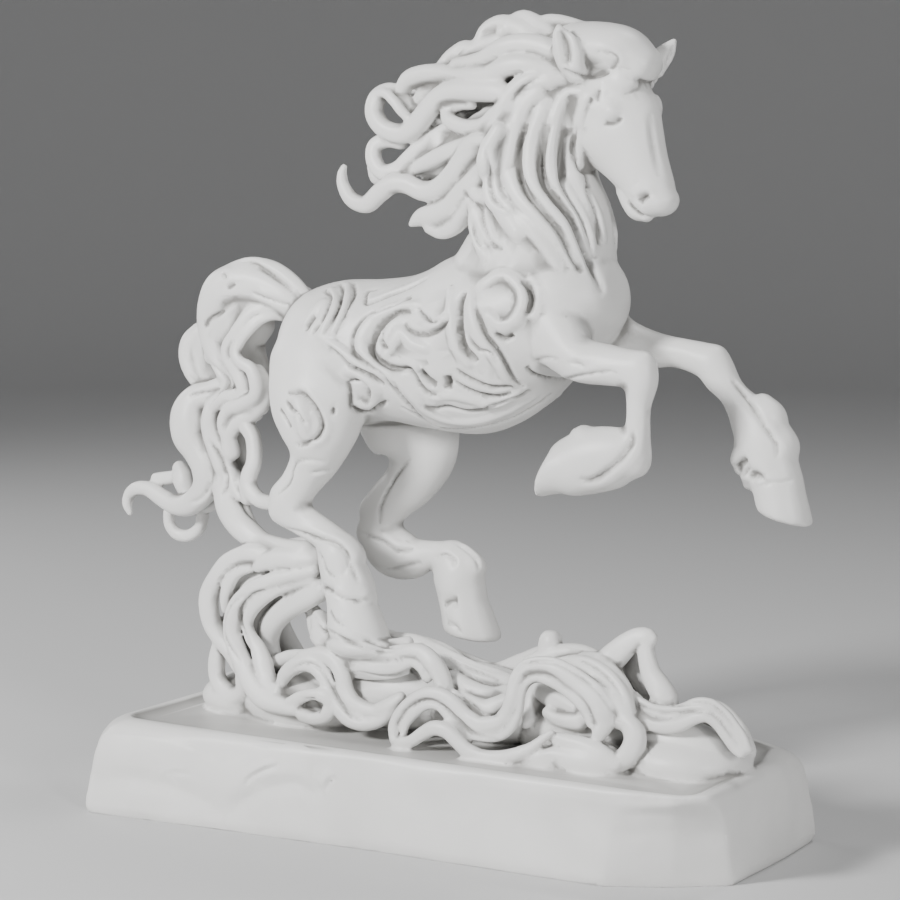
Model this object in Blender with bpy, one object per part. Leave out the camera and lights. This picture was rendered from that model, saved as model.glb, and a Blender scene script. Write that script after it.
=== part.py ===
"""A prancing horse with a flying mane and tail, its hind legs carried by curling waves on a rough block.

The whole figure is cast in one with its block. Lengths in the tables of forms are millimetres of the
master model, with z counted from the underside of the block, x the way the horse faces and y from its
right side to its left. The figure is scaled by FIGURE_HEIGHT and stands on the block by BLOCK_HEIGHT.
"""
import math

import bmesh
import bpy
import numpy as np
from mathutils import Vector
from mathutils.bvhtree import BVHTree

# Driving dimensions, in metres
FIGURE_HEIGHT = 0.446
BLOCK_LENGTH = 0.436
BLOCK_WIDTH = 0.178
BLOCK_HEIGHT = 0.061
CORNER_CUT = 0.040
EDGE_ROUND = 0.006
DISH = 0.003

# The master model that the tables of forms are drawn on, in millimetres
MASTER_FIGURE_HEIGHT = 446.0
MASTER_BLOCK_TOP = 61.0

# Fineness of the solid
BODY_VOXEL = 0.0026
BODY_ROUNDS = 10
CAST_VOXEL = 0.0021
CAST_ROUNDS = 2
SOLID_TRIANGLES = 9400
SAWN = 0.005

# How deep the ridges lie in the body, as a share of their radius
NECK_SINK = 0.45
SCROLL_SINK = 0.45

# Where the eye stands that the ridges were drawn for, and how many of them are on the near side alone
EYE = (814.1, -1365.4, 426.8)
NEAR_ONLY = 1

SCALE = FIGURE_HEIGHT / MASTER_FIGURE_HEIGHT


def placed(x, y, z):
    """A point of the master model, in metres on the finished figure."""
    return (x * SCALE, y * SCALE, BLOCK_HEIGHT + (z - MASTER_BLOCK_TOP) * SCALE)


def smooth_rows(rows, steps):
    """Rows of numbers joined by a smooth curve through each of them."""
    rows = [np.array(row, float) for row in rows]
    ends = [2 * rows[0] - rows[1]] + rows + [2 * rows[-1] - rows[-2]]
    fine = []
    for before, start, stop, after in zip(ends, ends[1:], ends[2:], ends[3:]):
        for step in range(steps):
            t = step / steps
            fine.append(0.5 * (2 * start + (stop - before) * t
                               + (2 * before - 5 * start + 4 * stop - after) * t ** 2
                               + (3 * start - before - 3 * stop + after) * t ** 3))
    fine.append(rows[-1])
    return fine


def add_rings(bm, rings):
    """Closed skin over a run of rings of points, with a fan at each end."""
    loops = [[bm.verts.new(placed(*point)) for point in ring] for ring in rings]
    for lower, upper in zip(loops, loops[1:]):
        for k in range(len(lower)):
            n = (k + 1) % len(lower)
            bm.faces.new((lower[k], lower[n], upper[n], upper[k]))
    for loop, turned in ((loops[0], True), (loops[-1], False)):
        middle = bm.verts.new(sum((v.co for v in loop), loop[0].co * 0) / len(loop))
        for k in range(len(loop)):
            n = (k + 1) % len(loop)
            corner = (loop[n], loop[k], middle) if turned else (loop[k], loop[n], middle)
            bm.faces.new(corner)


def ring(centre, across, side, a, b, count, lobes=0, depth=0.0, turn=0.0):
    """An oval of points, a wide along across and b wide along side, its edge in ridges where lobes are given."""
    points = []
    for k in range(count):
        angle = 2 * math.pi * k / count
        ridge = 1 - depth * (0.5 - 0.5 * math.cos(lobes * (angle + turn))) if lobes else 1.0
        points.append(centre + across * (a * ridge * math.cos(angle)) + side * (b * ridge * math.sin(angle)))
    return points


def swept(bm, rows, steps=5, count=16, lobes=0, depth=0.0, twist=0.0):
    """A limb or lock through rows of x, y, z, half thickness in the plane, half thickness sideways."""
    fine = smooth_rows(rows, steps)
    centres = [row[:3] for row in fine]
    rings = []
    last = len(fine) - 1
    for index, row in enumerate(fine):
        along = centres[min(index + 1, last)] - centres[max(index - 1, 0)]
        along /= np.linalg.norm(along)
        side = np.array((0.0, 1.0, 0.0)) - along[1] * along
        side /= max(np.linalg.norm(side), 1e-6)
        across = np.cross(side, along)
        turn = twist * index / last
        sizes = [(0.0, 1.0)]
        if index in (0, last):
            sizes = [(0.0, 1.0), (0.38, 0.92), (0.71, 0.71), (0.92, 0.38)]
        way = -1 if index == 0 else 1
        reach = min(row[3], row[4])
        caps = [ring(row[:3] + along * way * out * reach, across, side, row[3] * size, row[4] * size,
                     count, lobes, depth, turn) for out, size in sizes]
        rings += caps[::-1] if index == 0 else caps
    add_rings(bm, rings)


def locks(bm, rows, flat=1.0, **ways):
    """A round lock through rows of x, y, z, radius."""
    swept(bm, [(x, y, z, r, r * flat) for x, y, z, r in rows], **ways)


def ball(bm, centre, sizes, count=16):
    """An egg-shaped mass with its half sizes along x, y and z."""
    cx, cy, cz = centre
    sx, sy, sz = sizes
    rows = []
    for k in range(1, 8):
        angle = math.pi * k / 8
        rows.append((cx - sx * math.cos(angle), cy, cz, sz * math.sin(angle), sy * math.sin(angle)))
    swept(bm, rows, steps=2, count=count)


def hoof(bm, heel, toe, top, half_width, top_length):
    """A hoof from its flat sole, heel to toe, up to the ring of hair at its top."""
    y = top[1]
    heel = np.array((heel[0], y, heel[1]), float)
    toe = np.array((toe[0], y, toe[1]), float)
    top = np.array(top, float)
    sole = (heel + toe) / 2
    length = toe - heel
    half = np.linalg.norm(length) / 2
    across = length / (2 * half)
    side = np.array((0.0, 1.0, 0.0))
    rings = []
    for share, grow in ((-0.04, 0.90), (0.0, 0.97), (0.08, 1.0), (0.5, 0.93), (1.0, 0.86)):
        centre = sole + (top - sole) * share
        a = (half + (top_length / 2 - half) * share) * (grow if share < 0.05 else 1)
        rings.append(ring(centre, across, side, a, half_width * grow, 20))
    lift = np.cross(across, side)
    if np.dot(lift, top - sole) < 0:
        rings = [points[::-1] for points in rings]
    add_rings(bm, rings)


# Masses of the horse: x, y, z, half thickness in the plane, half thickness sideways
TRUNK = [(-112, 0, 286, 20, 18), (-104, 0, 289, 33, 31), (-92, 0, 292, 43, 39), (-70, 0, 296, 46.5, 43),
         (-40, 0, 299, 45, 42), (-10, 0, 300, 49.5, 43), (20, 0, 305, 56, 44), (50, 0, 318, 51, 45),
         (74, 0, 329, 41, 42), (92, 0, 335, 31, 34)]
CHEST = ((84, 0, 334), (37, 39, 36))
NECK = [(46, 0, 328, 48, 36), (65, 0, 355, 49, 36), (72, 0, 380, 40, 33), (70, 0, 410, 31, 29),
        (76, 0, 440, 26, 25), (90, 0, 464, 22, 19)]
HEAD = [(96, 0, 466, 20, 17), (105, 0, 455, 28, 19), (117, 0, 438, 29.5, 18.5), (123.5, 0, 427.5, 25.5, 17),
        (131, 0, 415, 20, 14.5), (137.5, 0, 404, 16.5, 12.5), (141, 0, 396, 15, 12)]
HOOD = [(80, 0, 479, 16, 18), (92, 0, 483, 16.5, 21), (108, 0, 484, 15, 22), (122, 0, 481, 14.5, 20),
        (134, 0, 474, 11, 15)]
NEAR_EAR = [(99, -18, 468, 6.5, 5), (97, -22, 476, 9, 6), (94.5, -24, 485, 8.5, 5.5), (92, -26, 492, 5, 3.5),
            (91, -26, 496, 1.8, 1.5)]
FAR_EAR = [(127, 16, 468, 8, 6), (132, 19, 474, 7.5, 5), (138, 22, 482, 5.5, 4), (142, 24, 488, 2, 1.6)]
NEAR_FORELEG = [(86, -24, 320, 22, 16), (108, -33, 303, 14.5, 13), (130, -35, 299.5, 12.5, 11),
                (148, -36, 298, 11, 10.5)]
NEAR_FORE_CANNON = [(151, -36, 300, 11, 10), (152, -36, 290, 10.5, 9.5), (150.5, -36, 277, 7.8, 7),
                    (150, -36, 262, 7.8, 7.5), (149, -36, 248, 10, 9)]
NEAR_FORE_PASTERN = [(149, -36, 246, 12.5, 10), (139, -36, 246, 18, 12), (121, -36, 243, 20, 14),
                     (106, -36, 238, 18, 14.5)]
FAR_FORELEG = [(90, 22, 317, 24, 16), (106, 28, 308, 16, 14), (125, 30, 304, 12, 11), (142, 30, 303, 9.5, 9),
               (158, 30, 300, 10.5, 10), (167, 30, 297, 11.5, 10.5)]
FAR_FORE_CANNON = [(166, 30, 299, 11.5, 10.5), (172, 30, 289, 11, 10), (179, 30, 281, 8.8, 8.5),
                   (186, 30, 273, 10.5, 10)]
FAR_FORE_PASTERN = [(185, 30, 274, 10, 10), (191, 30, 267.5, 14, 12), (197.5, 30, 259.5, 17.5, 14),
                    (200.5, 30, 251, 19.5, 15), (203, 30, 243, 19, 15), (206.5, 30, 234.5, 17, 14.5),
                    (210.5, 30, 226, 16, 14.5)]
NEAR_THIGH = [(-79, -20, 292, 38, 24), (-79, -25, 266, 35, 23), (-78, -28, 246, 27, 20),
              (-81, -28, 230, 17, 15), (-92, -28, 214, 13, 11), (-101, -28, 202, 15, 11)]
NEAR_HIND_CANNON = [(-105, -28, 198, 12, 10), (-88, -28, 190, 10.5, 9), (-72, -28, 182, 10.5, 9),
                    (-62, -28, 173, 14, 11)]
NEAR_HIND_PASTERN = [(-63, -28, 172, 15, 12), (-59, -28, 160, 16.5, 13), (-54, -28, 148, 17.5, 14.5)]
FAR_THIGH = [(-56, 20, 286, 44, 24), (-46, 24, 268, 42, 23), (-42, 27, 248, 37, 21), (-37, 28, 230, 26, 17),
             (-44, 28, 213, 18.5, 13), (-59, 28, 199, 15.5, 12), (-69, 28, 187, 16, 11)]
FAR_HIND_CANNON = [(-74, 28, 179, 13, 10), (-60, 28, 167, 18, 10), (-43, 28, 163, 15, 9),
                   (-28, 28, 166, 9.5, 8.5), (-14, 28, 166, 11, 10)]
FAR_HIND_PASTERN = [(-14, 28, 166, 13, 11), (-9, 28, 157, 18.5, 14), (-7, 28, 148, 17, 14),
                    (-5, 28, 140, 17, 14.5)]

LIMBS = [TRUNK, NECK, HEAD, HOOD, NEAR_FORELEG, NEAR_FORE_CANNON, NEAR_FORE_PASTERN, FAR_FORELEG,
         FAR_FORE_CANNON, FAR_FORE_PASTERN, NEAR_THIGH, NEAR_HIND_CANNON, NEAR_HIND_PASTERN, FAR_THIGH,
         FAR_HIND_CANNON, FAR_HIND_PASTERN]

# Muzzle, far brow, eyelids and the sides of the brow: centre and half sizes; then the lower lip
FACE = [((145.5, 0, 394.5), (11.5, 10.5, 9.5)), ((134.5, 12, 448), (5, 7, 9)),
        ((121.5, -14.5, 446), (6.5, 4.5, 4.5)), ((119, 14.5, 446), (6.5, 4.5, 4.5)),
        ((123, -10.5, 464.5), (13, 7, 9)), ((123, 10.5, 464.5), (13, 7, 9))]
LOWER_LIP = [(125, 0, 401, 8, 8), (128, 0, 394, 7.5, 8), (131.5, 0, 388.5, 6.5, 8), (136.5, 0, 385.5, 4, 6)]

# Swellings of joints and tufts of hair above the hooves: far fore, near hind, far hind, near fore
TUFTS = [
    [(199, 30, 272, 9, 9), (204, 30, 267, 10, 10), (207, 30, 261, 9, 9)],
    [(209, 30, 257, 9, 10), (213, 30, 250, 9.5, 11), (214, 30, 244, 8, 10)],
    [(192, 30, 248, 9, 12), (188, 30, 240, 8, 12), (187, 30, 236, 5, 8)],
    [(198, 30, 238, 8, 12), (194, 30, 231, 7, 12), (193, 30, 227.5, 5, 8)],
    [(-58, -28, 177, 8, 8), (-52, -28, 171, 8, 8), (-51, -28, 164, 6, 8)],
    [(-48, -28, 154, 7.5, 9), (-44, -28, 147, 7.5, 10), (-44, -28, 139, 7, 10)],
    [(-64, -28, 158, 7, 10), (-68, -28, 150, 6.5, 9), (-67, -28, 145, 4, 6)],
    [(-6, 28, 167, 8, 8), (3, 28, 161, 7.5, 9), (3, 28, 154, 6, 8)],
    [(119, -36, 255, 8, 10), (113, -36, 258, 6, 8), (110.5, -36, 258.5, 3.5, 6)],
]
CRISP = [NEAR_EAR, FAR_EAR, LOWER_LIP] + TUFTS

# Hooves: heel and toe of the sole (x, z), middle of the top (x, y, z), half width, top length
HOOVES = [((99, 252), (83, 218), (111, -36, 239), 16, 36), ((197, 212), (232.5, 203), (210, 30, 229), 16, 34),
          ((-69, 120), (-26, 120), (-53, -28, 142), 17, 34), ((-18, 119), (23, 114), (-4, 28, 139), 17, 35)]

# Ridges of hair down each side of the neck: x, z, radius, as the eye sees them on the plane y -30.
# The first is on the near side alone, where the neck is turned
NECK_PLANE = -30
NECK_RIDGES = [
    [(107, 425, 4.5), (106, 414.5, 5.5), (107.5, 404.5, 5.5), (114, 394, 5.5), (120, 383.5, 5),
     (123.5, 372.5, 4)],
    [(92, 441, 4), (89, 431.5, 5.5), (88.5, 419.5, 5.5), (91, 408, 6), (98, 398, 6), (107, 386.5, 5.5),
     (113.5, 374.5, 5), (116.5, 365, 3.5)],
    [(85.5, 451, 4.5), (78, 438, 6), (75, 426, 6), (75, 414, 6.5), (78, 403.5, 6.5), (87, 392.5, 6.5),
     (97, 382, 6.5), (105, 370, 5.5), (111, 359.5, 4)],
    [(84, 464, 4.5), (74, 454, 6.5), (66, 442.5, 7.5), (61, 430.5, 8), (58.5, 418.5, 8.5),
     (61, 406.5, 8.5), (68, 395.5, 8), (79.5, 386, 7.5), (90, 375.5, 6.5), (99, 363.5, 5), (103.5, 357, 4)],
    [(55.5, 436, 4.5), (50, 425, 6), (48.5, 414, 6.5), (51, 403, 6.5), (57.5, 392.5, 7), (68, 383.5, 7),
     (79.5, 374, 6.5), (88.5, 363.5, 5), (94, 356, 4)],
]

# Raised scrolls on each flank: x, z, radius, as the eye sees them on the plane y -36
FLANK_PLANE = -36
SCROLLS = [
    [(0, 331, 3), (-12, 329, 4.5), (-24, 325, 5.2), (-33, 318, 5.4), (-39, 310, 5.4), (-39.5, 303, 5.4),
     (-35, 296.5, 5.2), (-27, 291, 5), (-17, 286, 5), (-8, 279.5, 5), (0, 272, 5), (9, 265, 4.5),
     (24, 261, 4), (44, 262, 4), (64, 269, 3.5), (80, 278, 3)],
    [(-66, 306, 3), (-57, 301, 4), (-46, 295, 4.5), (-34, 291, 4.5)],
    [(-52, 287, 3), (-44, 288, 4), (-34, 283, 4.5), (-29, 276, 4.5), (-33, 268, 4), (-41, 268, 3.5)],
    [(-22, 300, 4), (-16, 308, 5), (-12, 314, 4.5), (-4, 307, 4), (6, 304, 3.5)],
    [(6, 319, 3), (14, 320, 3.5), (21, 326, 3), (24, 334, 3)],
    [(12, 274, 3), (24, 276, 3.5), (40, 274, 3.8), (56, 273, 3.8), (72, 282, 3)],
    [(-76, 243, 3), (-83, 247, 5), (-84, 256, 6.5), (-86, 264, 5.5), (-90, 270, 3)],
    [(-82, 316, 3), (-74, 325, 4), (-67, 330, 4), (-70, 316, 3)],
    [(-62, 338, 3), (-59, 328, 4), (-64, 317, 4), (-71, 308, 3)],
    [(-50, 341, 3), (-50, 331, 4), (-54, 321, 4), (-61, 311, 3)],
    [(46, 344, 4), (60, 350, 5), (72, 343, 5.5), (74, 333, 5.5), (68, 323, 5.5), (58, 320, 5), (50, 326, 4.5)],
    [(38, 340, 3), (38, 328, 4), (42, 316, 4.5), (50, 306, 4.5), (58, 296, 4.5), (64, 288, 4), (74, 284, 3)],
    [(24, 340, 3), (23, 328, 4), (24, 316, 4), (28, 304, 4), (36, 296, 3.5)],
]


# Locks of the tail: x, y, z, radius. Those of the near side first, the deeper ones last
TAIL = [
    [(-96, -3, 320, 6), (-103, -4, 329, 6), (-112, -4, 338.5, 6), (-125, -4, 346.5, 6), (-139, -4, 349.5, 6),
     (-153, -4, 348.5, 5.5), (-166, -4, 344, 5)],
    [(-94, -2, 312, 9), (-107, -3, 321, 10), (-119, -4, 330, 11.5), (-134, -4, 336, 12.5), (-151, -4, 338, 13.5),
     (-165, -4, 334, 14), (-172, -4, 324, 13), (-175.5, -4, 313, 11), (-174.5, -5, 302, 9.5),
     (-169, -6, 291, 8.5), (-163.5, -6, 281, 8), (-160, -6, 273, 7), (-167, -6, 265.5, 7),
     (-176, -6, 260, 7)],
    [(-122, -4, 333, 8), (-139.5, -4, 328, 10), (-152.5, -4, 321, 10), (-163, -5, 311.5, 9), (-170.5, -5, 300.5, 8),
     (-175, -5, 290, 6.5)],
    [(-192.5, 3, 306, 5), (-198, 3, 298, 7.5), (-199.5, 3, 288.5, 8), (-195, 2, 279, 8), (-188, 1, 271, 7)],
    [(-187, 4, 300, 8.5), (-188, 4, 290, 9), (-186, 4, 279, 9), (-180, 2, 268, 8)],
    [(-144, 6, 310, 9), (-152, 6, 300, 10), (-151, 6, 290, 9.5), (-147, 5, 281, 9)],
    [(-163, 4, 250, 9), (-157, 3, 236, 9), (-156, 2, 224, 8.5), (-157, 0, 213, 8.5)],
    [(-163, -6, 273, 6), (-176, -6, 266.5, 7.5), (-188, -6, 261, 10), (-193.5, -6, 251, 13),
     (-192.5, -7, 238, 13), (-185, -8, 227.5, 11), (-178.5, -9, 218.5, 10.8), (-177, -9, 209, 10.5),
     (-181.5, -9, 200, 9), (-193, -8, 191.5, 8), (-206, -7, 190, 7), (-218, -6, 194, 6.2),
     (-229, -5, 198.5, 5.5), (-238.5, -5, 198.5, 5), (-246, -4, 194, 4.4), (-248.5, -4, 187, 3.6),
     (-246.5, -4, 181, 2.2)],
    [(-228, 2, 205, 4.2), (-222, 2, 205.3, 4.8), (-213, 2, 206.5, 4.8)],
    [(-208.5, 2, 213, 5.5), (-206, 2, 208.5, 7.5), (-203.5, 1, 203, 7.5), (-200, 0, 198, 6)],
    [(-156, -12, 212, 7), (-148, -14, 205, 7), (-139, -17, 201, 6)],
    [(-219.5, 4, 183, 4.1), (-220, 5, 174.5, 4.1), (-214.5, 6, 168, 4.4), (-204.5, 6, 167.5, 4.4),
     (-195, 5, 173.5, 4.4), (-191, 3, 182.5, 4.6)],
    [(-104, -5, 322, 4), (-117, -7, 323, 4.4), (-128.5, -9, 322.5, 4.8), (-139, -11, 320, 4.8),
     (-146, -13, 312.5, 4.6), (-152, -14, 304.5, 4.4), (-157, -14, 297.5, 4.4), (-156.5, -14, 290, 4.6),
     (-150, -14, 282, 5), (-144.5, -14, 273, 5.3), (-146, -14, 267.5, 5), (-158, -13, 264, 5),
     (-170, -12, 258, 5.4), (-173.5, -12, 248.5, 6), (-172, -12, 239.5, 6.4), (-167, -12, 229, 7),
     (-162, -12, 218.5, 7.2)],
    [(-106, -5, 316, 3), (-118, -7, 317.5, 3), (-126, -10, 318, 3.3), (-134, -12, 314.5, 3.6),
     (-140, -14, 308.5, 3.6), (-146, -15, 301.5, 3.6), (-149, -16, 294.5, 3.8), (-145.5, -17, 288.5, 4),
     (-136.5, -17, 284, 4.6), (-132, -17, 275, 5.4),
     (-133, -17, 267, 5.2), (-143, -16, 261.5, 4.8), (-155, -15, 256.5, 4.8), (-160.5, -14, 248, 5),
     (-158, -13, 239, 5.3), (-155.5, -12, 228.5, 5.5)],
    [(-134, -12, 282.5, 4.5), (-129, -12, 273.5, 4.5), (-129.5, -12, 263, 5), (-138, -12, 254.5, 5.3),
     (-148.5, -13, 249, 5.3), (-155, -13, 242, 5)],
    [(-146, -12, 248, 5.5), (-138, -14, 240.5, 5.5), (-135, -16, 231.5, 5.5), (-134.5, -18, 222.5, 5.5),
     (-137.5, -19, 214.5, 5.8), (-136, -20, 207, 5.8), (-127.5, -22, 200.5, 5.3), (-116, -24, 199.5, 5),
     (-103, -26, 203, 5)],
    [(-173, -6, 250, 6.5), (-172, -6, 240, 7), (-166.5, -8, 227, 7.5), (-162, -9, 215.5, 9), (-159.5, -10, 203, 11),
     (-155, -11, 190.5, 11.5), (-145, -13, 179, 9.5), (-129, -16, 172, 7), (-111, -19, 170, 6.5),
     (-92, -22, 170, 7)],
    [(-112, 4, 326, 12), (-134, 7, 330, 14), (-154, 9, 326, 14), (-166, 9, 312, 12), (-167, 8, 298, 11),
     (-166, 8, 288, 11), (-161, 6, 276, 10.5), (-156, 5, 264, 9.5), (-162, 3, 250, 9), (-165, 2, 236, 8.5),
     (-162, 1, 223, 7.5), (-161, 1, 210, 7)],
    [(-98, 8, 316, 9), (-118, 13, 322, 10), (-140, 17, 326, 10), (-156, 18, 318, 9.5), (-162, 18, 304, 9),
     (-158, 17, 290, 8.5), (-164, 16, 276, 9), (-176, 14, 262, 10), (-186, 12, 248, 10), (-182, 10, 231, 10),
     (-172, 8, 215, 9.5), (-170, 5, 202, 9), (-184, 2, 193, 7.5), (-198, 0, 189, 6)],
]

# Locks of the mane: x, y, z, radius. Those of the near side first, then the core and the far side
MANE = [
    [(92, 2, 493, 7), (79, 0, 498, 6), (70, -2, 499.5, 5), (64, -5, 496, 4.5)],
    [(75, -6, 491, 6), (64.5, -4, 498, 6), (54.7, -2, 502, 5.5), (48, -4, 499.5, 5), (44, -8, 494, 4.5)],
    [(66, -8, 490, 6), (52, -6, 496.5, 6), (40.5, -4, 499, 6), (31, -4, 495.5, 5.5), (27, -6, 489.5, 4.5),
     (23.5, -8, 483.5, 3.5)],
    [(88, -17, 481, 6.5), (72, -18, 485.5, 6.5), (60, -18, 486, 6.8), (48.5, -18, 483.5, 6.8), (37, -16, 478, 6.4),
     (26, -14, 475.5, 6), (14, -12, 474.5, 5)],
    [(30, -8, 478, 5), (18, -6, 485, 5), (10.5, -6, 482, 5.5), (4, -6, 477, 5.5), (-1, -8, 470, 5)],
    [(88, -18, 466, 6), (78.5, -20, 471, 6), (67, -22, 474, 6.2), (54.5, -22, 473, 6.5), (42, -20, 468.5, 6.5),
     (29.5, -18, 467.5, 6.5), (15.5, -14, 468, 6.5), (2.5, -12, 470, 6.2), (-10, -11, 470, 6),
     (-21, -10, 467, 6), (-27, -9, 460, 5)],
    [(61, -24, 455.5, 5.5), (47, -22, 458.5, 7), (33, -20, 459, 7), (19, -18, 459.5, 6.8), (6, -16, 456.5, 6.8),
     (-3.5, -15, 449, 7), (-12, -14, 440.5, 7), (-23, -13, 434, 6.5), (-36.5, -13, 436.5, 6.2),
     (-44.5, -13, 445.5, 6.2), (-43, -12, 455.5, 6), (-35, -10, 460, 5.2), (-27, -9, 456, 5),
     (-21.5, -9, 448, 4.2)],
    [(-42, -15, 457.5, 3), (-35, -16, 458.5, 3.2), (-28, -17, 453.5, 3.4), (-22, -17, 447, 3.4),
     (-16, -16, 441.5, 2.8)],
    [(14, -8, 440, 6), (5, -8, 436, 5.5), (-7, -9, 429.5, 5.5), (-20, -10, 419.5, 5.5), (-29.5, -10, 412, 5.3),
     (-40, -10, 410, 5.6), (-47.5, -9, 417, 5.4), (-47.5, -8, 426, 5.2), (-39.5, -7, 429.5, 4.8),
     (-30, -6, 428, 4.5)],
    [(-34, -5, 406, 5), (-42.5, -4, 405.5, 4.6), (-50.5, -2, 406.5, 4.2), (-55, 0, 413.5, 3.5)],
    [(55, -25, 422, 5), (46, -24, 425, 5.5), (35, -23, 425.5, 6.4), (25.5, -21, 419.5, 6.8), (16, -19, 409.5, 6.8),
     (4, -17, 400.5, 6.7), (-8, -16, 399, 6.4), (-19, -16, 403, 6.2), (-29.5, -16, 403, 6.2),
     (-39, -16, 397.5, 6.2), (-49, -15, 390.5, 5.8), (-60, -15, 393, 5.1), (-67, -14, 401, 4.2),
     (-69, -13, 408, 3.4), (-67.5, -13, 413, 2.3)],
    [(50, -25, 412, 6), (42, -24, 413.5, 6), (34, -22, 407, 6.5), (24, -20, 399, 7), (14, -18, 390.5, 7),
     (2, -16, 385.5, 6.8), (-8, -14.5, 383.5, 6), (-13.5, -14, 381, 4.5), (-17.5, -14, 378.5, 2.2)],
    [(44, -26, 396, 5), (35.5, -24, 396, 5), (25.5, -20, 388, 5.5), (17, -17, 379.5, 5.8), (5.5, -15, 374.5, 5),
     (-4.5, -14, 376.5, 4)],
    [(58, -25, 450, 5), (48, -24, 444.5, 5.5), (39.5, -22, 438.5, 5.5), (25.5, -20, 437.5, 5), (12.5, -18, 441.5, 4.8),
     (10, -16, 447.5, 4), (18, -16, 450.5, 3.6), (27.5, -17, 450.5, 3)],
    [(54, -25, 433, 4.5), (45.5, -24, 431.5, 4.5), (33, -22, 430, 4.5), (21.5, -20, 426, 5), (8, -17, 421.5, 5.5),
     (-4, -14, 417, 5.2), (-13.5, -12, 413.5, 4.2), (-21, -11, 409.5, 2.4)],
    [(22, -22, 418, 4.5), (25, -23, 421, 5), (31.5, -25, 427.5, 5.2), (42, -26.5, 429, 5.2), (49.5, -27.5, 423, 5),
     (49.5, -28, 412, 4.8), (47, -29, 401, 5), (51, -31, 392.5, 5), (61.5, -33, 388, 4.5)],
    [(63.5, -21, 454, 7.5), (54, -21, 440, 8.5), (48.5, -22, 423, 9.5), (49.5, -24, 406.5, 9.5), (57.5, -27, 390, 9.5),
     (69, -30, 376, 8)],
    [(32.5, -18, 412, 7), (33.5, -19, 398, 8), (39, -23, 384, 8), (49.5, -27, 371.5, 7)],
    [(75, -20, 458, 7), (68, -21, 450, 7.5), (62, -22, 438, 8)],
    [(33, -23, 402, 4), (35.5, -25, 392, 4.4), (35.5, -27, 381, 4.6), (40, -29, 369, 4.6), (47, -31, 360, 4)],
    [(84, -21, 464, 5), (71, -23, 465, 5.5), (61.5, -24, 460, 5.5), (55.5, -25, 451, 5.5), (49.5, -25, 442, 5.5),
     (44, -24, 434, 5)],
    [(62, -3, 472, 17), (42, -3, 467, 16), (24, -3, 462, 14), (6, -3, 457, 12), (-12, -3, 455, 9)],
    [(58, -4, 442, 19), (38, -4, 434, 18), (20, -5, 424, 16), (4, -5, 418, 12), (-8, -6, 416, 8)],
    [(54, -4, 410, 19), (36, -6, 400, 16), (22, -8, 390, 13), (8, -9, 384, 9)],
    [(0, -4, 428, 12), (-10, -4, 419, 9.5), (-20, -5, 414, 7)],
    [(40, -4, 488, 8), (24, -4, 483, 8), (14, -4, 475, 8)],
    [(84, -10, 458, 12), (76, -12, 438, 13), (73, -13, 418, 13), (77, -14, 400, 13), (88, -16, 384, 12)],
    [(80, 14, 480, 9), (62, 18, 484, 9), (44, 19, 481, 9), (26, 18, 474, 9), (10, 16, 466, 8.5),
     (-8, 13, 459, 8), (-24, 10, 456, 6.5), (-36, 8, 460, 5)],
    [(74, 20, 464, 9), (56, 24, 464, 9), (38, 24, 456, 9), (22, 21, 446, 8.5), (6, 17, 440, 8), (-10, 13, 440, 7),
     (-22, 10, 446, 5.5)],
    [(54, 25, 442, 9), (36, 24, 432, 8.5), (18, 20, 424, 8.5), (2, 15, 414, 8), (-14, 11, 410, 7),
     (-26, 9, 414, 5.5)],
    [(52, 25, 418, 9), (36, 22, 404, 8), (20, 18, 394, 8), (4, 13, 390, 7), (-10, 9, 394, 6), (-20, 6, 402, 4.5)],
    [(50, 27, 398, 8), (42, 28, 384, 7), (44, 29, 370, 6), (52, 31, 358, 5)],
]

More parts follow.
